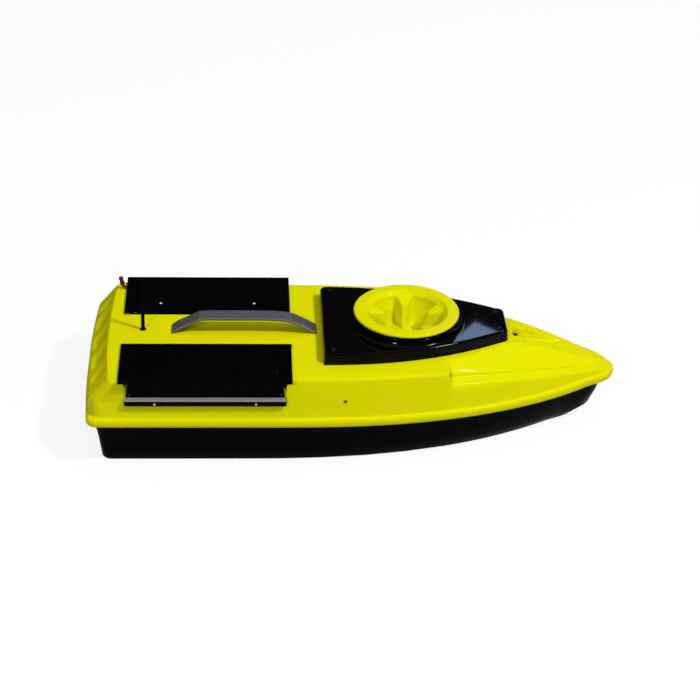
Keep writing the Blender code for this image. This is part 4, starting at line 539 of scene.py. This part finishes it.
def trough_grid(rim):
    """Fore deck inside the flat's edge, with the trough's floor sunk between steep walls.

    The floor is a straight line from its depth at the rear end to the deck's own height at the fore end.
    It is weighed by one S curve along the boat and another across it.
    """
    scale = np.minimum(1, rim[:, 1] / TROUGH_FULL)
    wall_out, wall_in = TROUGH_OUT * scale, TROUGH_IN * scale
    outer = rim[:, 1] + (wall_out - rim[:, 1]) * np.linspace(0, 1, 9)[:, None]
    wall = wall_out + (wall_in - wall_out) * np.linspace(0, 1, 6)[1:, None]
    bottom = wall_in * np.linspace(1, 0, 8)[1:, None]
    y = np.concatenate([outer, wall, bottom])
    x = np.broadcast_to(rim[:, 0], y.shape)
    top = np.broadcast_to(rim[:, 2], y.shape)
    deepest = DECK_Z - TROUGH_DEPTH
    along = (x - TROUGH_AFT) / (TROUGH_FORE - TROUGH_AFT)
    sunk = deepest + (plateau(TROUGH_FORE) - deepest) * along
    inside = smooth_step(x, TROUGH_AFT - TROUGH_SLOPE, TROUGH_AFT + TROUGH_SLOPE) * (x <= TROUGH_FORE)
    inside = inside * (1 - smooth_step(y, TROUGH_IN, TROUGH_OUT))
    return np.stack([x, y, top + np.minimum(sunk - top, 0) * inside], axis=-1)


print("trough", round(TROUGH_FORE - TROUGH_AFT, 4), "m long")

# %% [markdown]
# ## The deck
# The band rises from the lip's underside over the bead and up the leaning wall. Where a hopper opens it stops
# at the sill, and elsewhere it goes on over the shoulder. Flat grids then fill the top round the openings,
# with a groove for the lids' hinges. One large mesh with a Solidify wall was chosen, because the real deck is
# one sheet and must not show seams.

# %% Band round the boat
LIP_BENDS = (0.15, 0.4, 0.45, 0.12)
AFT_BENDS, AFT_STRAIGHT, AFT_BEND = (0.12, 0.16, 0.45), 16, 5
FORE_BENDS, FORE_STRAIGHT, FORE_BEND = (0.02, 0.30, 0.50, 0.45, 0.60), 5, 5
AFT_WALL = 1 + 2 * AFT_STRAIGHT + AFT_BEND  # rows up to the shoulder's bend
FORE_WALL = 1 + 2 * FORE_STRAIGHT + FORE_BEND


def band_grids():
    """The lip, the wall and the shoulder aft and forward, and the end walls of a hopper opening."""
    lower = rounded(lip + [cut_line], LIP_BENDS, straight=2, bend=4)
    aft_lines = [line[BEHIND] for line in (cut_line, edge, aft_shoulder, aft_crest, inner)]
    fore_lines = [line[AHEAD] for line in (cut_line, edge, shoulder, root, crest, flat, flat_in)]
    upper_aft = rounded(aft_lines, AFT_BENDS, AFT_STRAIGHT, AFT_BEND)
    upper_fore = rounded(fore_lines, FORE_BENDS, FORE_STRAIGHT, FORE_BEND)
    sloping = np.concatenate([lower[:, BEHIND], upper_aft[1:]])
    sloping = pressed(sloping, len(lower) - 1 + AFT_STRAIGHT + AFT_BEND)
    aft_end = turned_in(upper_aft[:AFT_WALL, -1], 1)[:, ::-1]
    fore_end = turned_in(upper_fore[:FORE_WALL, 0], -1)
    return [sloping, lower[:, AFT_COLUMN:], upper_fore, aft_end, fore_end]


print("wall rows", AFT_WALL, "aft", FORE_WALL, "forward")

# %% Flats round the openings
HOLE_INSET = 0.009  # the deck's landing reaches this far under the hatch's edge


def stern_grids():
    """The flat aft of the hoppers, with the hinge groove's end sunk in, and the strip between the hoppers."""
    stern = inner[STERN]
    groove = np.maximum(stern, (GROOVE_AFT, 0, 0))
    end = np.maximum(stern, (OPEN_AFT, 0, 0))
    shelf = np.concatenate([groove[None], rounded([groove, end], (), straight=3)])
    in_groove = (stern[:, 1] > OPEN_Y - HAIR) & (stern[:, 1] < GROOVE_Y)
    shelf[1:, in_groove, 2] -= GROOVE_DEPTH
    strip = np.stack(np.broadcast_arrays(opening_x, middle[:, None], DECK_Z), axis=-1)
    return [rounded([stern, groove], (), straight=5), shelf, strip]


def fore_grids():
    """The flat ahead of the hoppers: as far as the hatch's hole, beside the hole, and the fore deck."""
    top = flat_in[AHEAD]
    rear, front = np.searchsorted(top[:, 0], (HOLE_REAR + HAIR, HOLE_FRONT - HAIR)) - (1, 0)
    aft, around, ahead = top[:rear + 1], top[rear:front + 1], top[front:]
    outside = np.linspace(aft[0, 1], GROOVE_Y + GROOVE_LEAN, 5)
    rows = np.concatenate([outside, np.linspace(GROOVE_Y, OPEN_Y, 4)[:-1], middle])
    across = aft[:, 1] * (rows / aft[0, 1])[:, None]
    level = np.stack(np.broadcast_arrays(aft[:, 0], across, aft[:, 2]), axis=-1)
    in_groove = (rows > OPEN_Y - HAIR) & (rows < GROOVE_Y + HAIR)
    level[..., 2] -= GROOVE_DEPTH * in_groove[:, None] * (aft[:, 0] < GROOVE_FORE + HAIR)
    beside = np.minimum(hatch_half(around[:, 0]) - HOLE_INSET, around[:, 1])
    landing = np.stack([around[:, 0], beside, around[:, 2]], axis=1)
    return [level, rounded([around, landing], (), straight=4), trough_grid(ahead)]


print("hinge grooves", GROOVE_DEPTH, "m deep")

# %% Deck
DECK_WALL = 0.0020


def deck_grids(side):
    """All grids of one side of the deck: port as drawn, starboard mirrored."""
    flip = np.array((1, side, 1))
    grids = band_grids() + stern_grids() + fore_grids()
    return [(grid[:, ::-1] if side > 0 else grid) * flip for grid in grids]


skin("deck_skin", deck_grids(1) + deck_grids(-1), "boat", "deck_yellow", ("deck_shell",), wall=DECK_WALL)

# %% [markdown]
# ## The hatch
# The hatch is one moulding: a low wall with a rounded top edge, a flat top, and a boss that swells up to
# carry the cap. A plate and a cone could be joined with a Boolean, but the swell between them would stay
# sharp. Here columns start at points round the outline and run in towards the cap's axis, so the rows near
# the outline follow the outline and the rows near the cap are circles.

# %% Hatch outline
HATCH_CORNER = 0.007


def pulled(start, corner, end, count=10):
    """A quadratic curve from start to end, pulled towards a corner: weights (1-t)^2, 2t(1-t) and t^2."""
    share = np.linspace(0, 1, count)[:, None]
    return (1 - share) ** 2 * start + 2 * share * (1 - share) * corner + share ** 2 * end


def hatch_outline():
    """Port half of the hatch's outline from the middle of its rear edge to the middle of its front edge."""
    side_x = np.linspace(HATCH_REAR + HATCH_CORNER, HATCH_FRONT - HATCH_CORNER, 90)
    side = np.stack([side_x, hatch_half(side_x)], axis=1)
    front_y = side[-1, 1]
    rear = np.stack([np.full(40, HATCH_REAR), np.linspace(0, HATCH_HALF - HATCH_CORNER, 40)], axis=1)
    front = np.stack([np.full(10, HATCH_FRONT), np.linspace(front_y - HATCH_CORNER, 0, 10)], axis=1)
    rear_turn = pulled(rear[-1], np.array((HATCH_REAR, HATCH_HALF)), side[0])
    front_turn = pulled(side[-1], np.array((HATCH_FRONT, front_y)), front[0])
    return np.concatenate([rear, rear_turn[1:], side[1:], front_turn[1:], front[1:]])


print("hatch outline", len(hatch_outline()), "points on a side")

# %% Hatch cover
CAP_X = 0.0590  # the cap's axis
HATCH_FOOT, HATCH_TOP, COLLAR_TOP = 0.1072, 0.1194, 0.1267
HATCH_LEAN, HATCH_ROUND = 0.0006, 0.0030  # how far the wall leans in, and its top edge's radius
COLLAR_RADIUS, COLLAR_FLARE, FLARE_POWER = 0.0597, 0.0065, 2.4
LEAST_FLARE = 1e-4
ROW_CROWD = 0.8  # rows crowd towards the boss by this power
COLLAR_RISE = 0.0003
HOLE_ROWS = [(0.0590, COLLAR_TOP + COLLAR_RISE), (0.0500, COLLAR_TOP + COLLAR_RISE),
             (0.0486, COLLAR_TOP - 0.0010), (0.0486, 0.1100)]


def hatch_grid():
    """Rows from the foot over the edge and the flat, up the boss and down the cap's hole.

    A row is a distance from the cap's axis and a height. The boss rises by a power of the way in across
    its flare.
    """
    half = hatch_outline()
    line = np.concatenate([half, half[-2:0:-1] * (1, -1), half[:1]])
    spoke = line - (CAP_X, 0)
    reach = np.linalg.norm(spoke, axis=1)
    spoke = spoke / reach[:, None]
    leaning = reach - HATCH_LEAN
    rows = [(reach, HATCH_FOOT), (leaning, HATCH_TOP - HATCH_ROUND)]
    for angle in np.linspace(0, np.pi / 2, 8)[1:]:
        height = HATCH_TOP - HATCH_ROUND * (1 - np.sin(angle))
        rows.append((leaning - HATCH_ROUND * (1 - np.cos(angle)), height))
    start = leaning - HATCH_ROUND
    flare = np.minimum(COLLAR_FLARE, np.maximum(start - COLLAR_RADIUS, LEAST_FLARE))
    for share in np.linspace(0, 1, 60)[1:]:
        radius = start + (COLLAR_RADIUS - start) * share ** ROW_CROWD
        out = np.clip((radius - COLLAR_RADIUS) / flare, 0, 1)
        rows.append((radius, HATCH_TOP + (COLLAR_TOP - HATCH_TOP) * (1 - out) ** FLARE_POWER))
    rows += HOLE_ROWS
    places = [(CAP_X, 0) + spoke * np.broadcast_to(radius, reach.shape)[:, None] for radius, _ in rows]
    grid = [at_height(place, height) for place, (_, height) in zip(places, rows)]
    return np.stack(grid)[:, ::-1]


skin("hatch_skin", [hatch_grid()], "boat", "gloss_black", ("hatch_cover",), look="hatch_gloss")

# %% [markdown]
# ## The round cap
# The cap is turned and then pressed: a flat rim, a dish, and a finger bowl whose wall swells into five ribs.
# The Spin tool could turn the profile, but it has no ribs. Here their depth is a wave round the axis, held
# flat above one level and below another. It grows from nothing at the dish to its full size a little below,
# so that the ribs have tops like teeth. A closed neck stands below the rim for when the cap is lifted out.

# %% Cap
CAP_TOP, CAP_UNDER, CAP_FOOT = 0.1325, 0.1295, 0.0935
NECK_RADIUS, RIM_RADIUS = 0.0480, 0.0600
RIBS, RIB_DEPTH = 5, 0.0155
RIB_SIDE = (0.25, 0.85)  # levels of the wave between which a rib's side rises
CAP_ROWS = (  # radius, height, and how much of the rib's depth is taken off the radius
    (0.0, CAP_FOOT, 0.0), (NECK_RADIUS, CAP_FOOT, 0.0), (NECK_RADIUS, CAP_UNDER, 0.0),
    (RIM_RADIUS, CAP_UNDER, 0.0), (RIM_RADIUS, CAP_TOP, 0.0), (0.0475, CAP_TOP, 0.0),
    (0.0425, CAP_TOP - 0.0045, 0.0), (0.0418, CAP_TOP - 0.0068, 0.7), (0.0412, CAP_TOP - 0.0095, 1.0),
    (0.0320, CAP_TOP - 0.0355, 1.0), (0.0, CAP_TOP - 0.0360, 0.0),
)
CAP_BENDS = (0.03, 0.0, 0.08, 0.30, 0.08, 0.25, 0.30, 0.25, 0.10)


def cap_grid(columns=240):
    """Rows from under the neck up to the rim, over its edge, down the dish and the ribs to the floor."""
    angle = np.linspace(0, 2 * np.pi, columns + 1)
    circle = np.stack([np.cos(angle), np.sin(angle)], axis=1)
    ribs = RIB_DEPTH * smooth_step(np.cos(RIBS * (angle - np.pi / 2)), *RIB_SIDE)
    lines = []
    for radius, height, share in CAP_ROWS:
        ring = (CAP_X, 0) + circle * (radius - share * ribs)[:, None]
        lines.append(at_height(ring, height))
    return rounded(lines, CAP_BENDS, straight=6)


skin("cap_skin", [cap_grid()], "cap", "deck_yellow", ("round_cap",))

# %% [markdown]
# ## The handle
# The handle is flat bar bent four times. A curve object with a bevel could stand for it, but its corners
# would have to be set by hand. Here the section, a rectangle with rounded edges, is carried along a path
# whose corners are curves.

# %% Handle
HANDLE_X = -0.1254
HANDLE_END, HANDLE_FLAT = 0.0810, 0.0490  # from the middle to the feet, and to the ends of the level part
HANDLE_FOOT, HANDLE_KNEE, HANDLE_TOP = 0.1030, 0.1075, 0.1239
HANDLE_BENDS = (0.35, 0.10, 0.25, 0.35)
STRAP_HALF, STRAP_THICK = 0.0100, 0.0015  # half the width and half the thickness
SQUARE_ACROSS, SQUARE_THICK = 0.12, 0.35  # powers below 1 that square the section's circle off


def handle_grid():
    """A rounded strap section swept along the bent centre line."""
    path = np.array([
        (-HANDLE_END, HANDLE_FOOT), (-HANDLE_END, HANDLE_KNEE), (-HANDLE_FLAT, HANDLE_TOP),
        (HANDLE_FLAT, HANDLE_TOP), (HANDLE_END, HANDLE_KNEE), (HANDLE_END, HANDLE_FOOT),
    ])
    bent = rounded([place[None] for place in path], HANDLE_BENDS, straight=8, bend=10)[:, 0]
    along = np.gradient(bent, axis=0)
    along /= np.linalg.norm(along, axis=1)[:, None]
    up = np.stack([-along[:, 1], along[:, 0]], axis=1)
    angle = np.linspace(0, 2 * np.pi, 65)
    across = STRAP_HALF * np.sign(np.cos(angle)) * np.abs(np.cos(angle)) ** SQUARE_ACROSS
    thick = STRAP_THICK * np.sign(np.sin(angle)) * np.abs(np.sin(angle)) ** SQUARE_THICK
    x = HANDLE_X + bent[:, :1] + up[:, :1] * thick
    z = bent[:, 1:] + up[:, 1:] * thick
    return np.stack([x, np.broadcast_to(across, x.shape), z], axis=-1)


skin("handle_skin", [handle_grid()], "boat", "alloy", ("handle_strap",))

# %% [markdown]
# ## Antenna and switch
# Both are turned shapes: a whip with a round tip in a stepped foot, and a lever with two swellings that leans
# aft. A Screw modifier could turn them too. Profiles are used here because `turned` also sets their lean.

# %% Antenna and switch lever
ANTENNA_AT = (-0.2397, 0, DECK_Z)
SWITCH_AT = (-0.2660, 0.0955, 0.1042)
SWITCH_LEAN = math.radians(12)
KNOB_RADIUS, KNOB_HEIGHT = 0.0028, 0.0152
KNOB_NECK = -0.87  # angle in radians at which the neck meets the knob


def tip_of(radius, height, rows=8):
    """Profile rows of a half ball that ends a rod at a height."""
    angle = np.linspace(0, np.pi / 2, rows)
    return list(zip(radius * np.cos(angle), height - radius + radius * np.sin(angle)))


whip = [(0.0021, -0.003), (0.0021, 0.030)] + tip_of(0.0018, 0.0660)
foot = [(0.0034, 0.0003), (0.0034, 0.0010), (0.0030, 0.0018), (0.0025, 0.0020), (0.0022, 0.0020)]
skin("antenna_whip_skin", [turned(whip, ANTENNA_AT)], "boat", "rubber", ("antenna_whip",))
skin("antenna_foot_skin", [turned(foot, ANTENNA_AT)], "boat", "bin_black", ("antenna_base",))
lean = (-math.sin(SWITCH_LEAN), 0, math.cos(SWITCH_LEAN))
knob = np.linspace(KNOB_NECK, np.pi / 2, 10)
lever = [(0.0008, 0.0), (0.0011, 0.0055), (0.0026, 0.0075)]
lever += [(0.0030, 0.0095), (0.0026, 0.0115), (0.0018, 0.0128)]
lever += list(zip(KNOB_RADIUS * np.cos(knob), KNOB_HEIGHT + KNOB_RADIUS * np.sin(knob)))
skin("switch_lever_skin", [turned(lever, SWITCH_AT, lean)], "toggle", "red", ("switch_lever",))

# %% [markdown]
# ## Small fastenings
# Button heads show on the lids and on the deck's side, and the bow lamp sits in a dark rim. Threads and slots
# would be lost at this size, so each head is only a low dome.

# %% Lid and side screws, bow lamp rim
LID_X, LID_Z = -0.1675, 0.1080  # the lids' middle and their top
FAR_X, FAR_Y = 0.0540, 0.0560
NEAR_PLACES = ((0.0835, -0.0500), (0.0785, -0.0980))  # from the lid's middle, and across the boat
SIDE_X, SIDE_Y, SIDE_Z, SIDE_LEAN = -0.0137, 0.1132, 0.0800, 0.19
LAMP_AT, LAMP_AXIS = (0.1846, 0, 0.0990), (0.82, 0, 0.57)
BRIGHT_HEAD, DARK_HEAD, SIDE_HEAD = (0.0016, 0.0008), (0.0013, 0.0004), (0.0016, 0.0006)  # radius, height

far = [(LID_X + end * FAR_X, FAR_Y, LID_Z) for end in (-1, 1)]
near = [(LID_X + end * reach, y, LID_Z) for end in (-1, 1) for reach, y in NEAR_PLACES]
bright_heads = [turned(dome(*BRIGHT_HEAD), place, columns=20) for place in far]
dark_heads = [turned(dome(*DARK_HEAD), place, columns=16) for place in near]
# The port lid's screws are painted pale for their glint, and the starboard lid's stay dark.
skin("lid_screws_port", bright_heads, "lid_port", "steel", look="glint_painted_steel")
skin("lid_screws_starboard", dark_heads, "lid_starboard", "black_steel")
for hand, side in (("port", 1), ("starboard", -1)):
    side_at = (SIDE_X, side * SIDE_Y, SIDE_Z)
    side_head = turned(dome(*SIDE_HEAD), side_at, (0, side, SIDE_LEAN), columns=20)
    skin("side_screw_" + hand, [side_head], "boat", "black_steel")
rim = [(0.0036, -0.0012), (0.0036, 0.0005), (0.0030, 0.0008), (0.0, 0.0008)]
skin("bow_light_rim", [turned(rim, LAMP_AT, LAMP_AXIS, columns=32)], "boat", "lamp")

# %% [markdown]
# ## Studio
# The boat stands on a plain floor that is mostly white to the camera, to polished surfaces and through clear
# ones, and keeps a faint shadow. A white floor would throw much light up under the lip, so the floor is grey
# to the rays that only carry light. Two soft boxes light the boat from the front, left and right. The sky is
# dim except overhead, so that polished black stays black.

# %% Floor
FLOOR_REACH, FLOOR_Z = 20, -0.0005
FLOOR_GREY = 0.45  # base colour for rays that only carry light
FLOOR_PLAIN = 0.86  # share of plain white where the floor is seen
FLOOR_ROUGH = 0.9


def white_floor(name, grey, share):
    """A matt grey floor that camera, glossy and transmission rays see as white, part lit and part plain."""
    made = bpy.data.materials.new(name)
    made.use_nodes = True
    nodes = made.node_tree.nodes
    link = made.node_tree.links.new
    matt = nodes["Principled BSDF"]
    matt.inputs["Roughness"].default_value = FLOOR_ROUGH
    matt.inputs["Specular IOR Level"].default_value = 0.0
    white = nodes.new("ShaderNodeEmission")
    path = nodes.new("ShaderNodeLightPath")
    choose = nodes.new("ShaderNodeMixShader")
    seen = path.outputs["Is Camera Ray"]
    for ray in ("Is Glossy Ray", "Is Transmission Ray"):
        either = nodes.new("ShaderNodeMath")
        either.operation = "MAXIMUM"
        link(seen, either.inputs[0])
        link(path.outputs[ray], either.inputs[1])
        seen = either.outputs[0]
    tint = nodes.new("ShaderNodeMapRange")
    tint.inputs["To Min"].default_value = grey
    link(seen, tint.inputs["Value"])
    link(tint.outputs["Result"], matt.inputs["Base Color"])
    part = nodes.new("ShaderNodeMath")
    part.operation = "MULTIPLY"
    part.inputs[1].default_value = share
    link(seen, part.inputs[0])
    link(part.outputs[0], choose.inputs[0])
    link(matt.outputs[0], choose.inputs[1])
    link(white.outputs[0], choose.inputs[2])
    link(choose.outputs[0], nodes["Material Output"].inputs["Surface"])
    return made


floor_sides = ((-1, -1), (1, -1), (1, 1), (-1, 1))
floor_corners = [(x * FLOOR_REACH, y * FLOOR_REACH, FLOOR_Z) for x, y in floor_sides]
floor_mesh = bpy.data.meshes.new("floor")
floor_mesh.from_pydata(floor_corners, [], [(0, 1, 2, 3)])
floor_mesh.materials.append(white_floor("floor_white", FLOOR_GREY, FLOOR_PLAIN))
floor = bpy.data.objects.new("floor", floor_mesh)
bpy.context.scene.collection.objects.link(floor)
print("floor", 2 * FLOOR_REACH, "m square")

# %% Sky
SKY_START = 0.55  # upward part of a direction at which the sky starts to brighten
SKY_LOW, SKY_HIGH = 0.06, 0.80
world = bpy.data.worlds.new("studio")
bpy.context.scene.world = world
world.use_nodes = True
sky_nodes = world.node_tree.nodes
sky_link = world.node_tree.links.new
sky = sky_nodes["Background"]
sky.inputs["Color"].default_value = (1, 1, 1, 1)
toward = sky_nodes.new("ShaderNodeTexCoord")
upward = sky_nodes.new("ShaderNodeSeparateXYZ")
brighter = sky_nodes.new("ShaderNodeMapRange")
brighter.inputs["From Min"].default_value = SKY_START
brighter.inputs["To Min"].default_value = SKY_LOW
brighter.inputs["To Max"].default_value = SKY_HIGH
sky_link(toward.outputs["Generated"], upward.inputs[0])
sky_link(upward.outputs["Z"], brighter.inputs["Value"])
sky_link(brighter.outputs["Result"], sky.inputs["Strength"])
print("sky from", SKY_LOW, "to", SKY_HIGH)

# %% Soft boxes
BOAT_MIDDLE = (0, 0, 0.08)
BOX_SIZE = 0.42
LEFT_AT, LEFT_WATTS = (-1.5, -3.1, 2.10), 40
RIGHT_AT, RIGHT_WATTS = (2.0, -1.3, 3.20), 106


def soft_box(name, place, target, size, power):
    """A square area light at a place, turned to a target."""
    lamp = bpy.data.lights.new(name, "AREA")
    lamp.size = size
    lamp.energy = power
    box = bpy.data.objects.new(name, lamp)
    box.location = place
    box.rotation_euler = (Vector(target) - Vector(place)).to_track_quat("-Z", "Y").to_euler()
    bpy.context.scene.collection.objects.link(box)
    print(name, power, "W")


soft_box("box_left", LEFT_AT, BOAT_MIDDLE, BOX_SIZE, LEFT_WATTS)
soft_box("box_right", RIGHT_AT, BOAT_MIDDLE, BOX_SIZE, RIGHT_WATTS)

# %% [markdown]
# ## Window and flag
# Three cards stay hidden from the camera and only show in polished surfaces. One glows like the corner of a
# window and shows in the hatch. The others are a dark flag low behind the boat and its foot on the floor:
# they keep the white floor out of the stern's slope, which the camera sees at a glancing angle.
# Photographers use black card in the same way.

# %% Window and flag
WINDOW = [(0.3385, 1.5, 0.9834), (0.2319, 1.5, 1.0908), (0.4509, 1.5, 1.0388)]
WINDOW_BLUE, WINDOW_GLOW = (0.43, 0.62, 1.0), 9.8
FLAG_AFT, FLAG_FORE, FOOT_FORE = -2.5, 0.1, -0.25
FLAG_Y, FOOT_Y, FLAG_TOP = 0.5, 0.02, 0.14
FLAG_OLIVE, FLAG_GLOW = (0.25, 0.25, 0.05), 0.1
FLAG = [(FLAG_AFT, FLAG_Y, 0), (FLAG_FORE, FLAG_Y, 0),
        (FLAG_FORE, FLAG_Y, FLAG_TOP), (FLAG_AFT, FLAG_Y, FLAG_TOP)]
FLAG_FOOT = [(FLAG_AFT, FOOT_Y, 0), (FOOT_FORE, FOOT_Y, 0),
             (FOOT_FORE, FLAG_Y, 0), (FLAG_AFT, FLAG_Y, 0)]


def card(name, corners, colour, strength):
    """A flat emitting card that the camera and diffuse rays don't see."""
    glow = bpy.data.materials.new(name)
    glow.use_nodes = True
    light = glow.node_tree.nodes.new("ShaderNodeEmission")
    light.inputs["Color"].default_value = (*colour, 1)
    light.inputs["Strength"].default_value = strength
    surface = glow.node_tree.nodes["Material Output"].inputs["Surface"]
    glow.node_tree.links.new(light.outputs[0], surface)
    mesh = bpy.data.meshes.new(name)
    mesh.from_pydata(corners, [], [range(len(corners))])
    mesh.materials.append(glow)
    piece = bpy.data.objects.new(name, mesh)
    piece.visible_camera = False
    piece.visible_diffuse = False
    piece.visible_shadow = False
    bpy.context.scene.collection.objects.link(piece)
    print(name, len(corners), "corners")


card("window", WINDOW, WINDOW_BLUE, WINDOW_GLOW)
card("flag", FLAG, FLAG_OLIVE, FLAG_GLOW)
card("flag_foot", FLAG_FOOT, FLAG_OLIVE, FLAG_GLOW)

# %% [markdown]
# ## Camera
# A long lens from starboard, a little over thirty degrees up, as the boat was photographed. The matrix was
# solved from the cap's ellipse and the two equal lids, which is steadier than turning the camera by eye.

# %% Camera
lens = bpy.data.cameras.new("camera")
lens.sensor_width = 36.0
lens.lens = 103.94
camera = bpy.data.objects.new("camera", lens)
camera.matrix_world = Matrix((
    (0.99856, -0.00200, -0.05356, -0.1280),
    (-0.04505, 0.51003, -0.85898, -1.9932),
    (0.02903, 0.86015, 0.50921, 1.2604),
    (0, 0, 0, 1),
))
bpy.context.scene.collection.objects.link(camera)
bpy.context.scene.camera = camera
bpy.context.scene.view_settings.view_transform = "Standard"
print("camera lens", lens.lens, "mm")
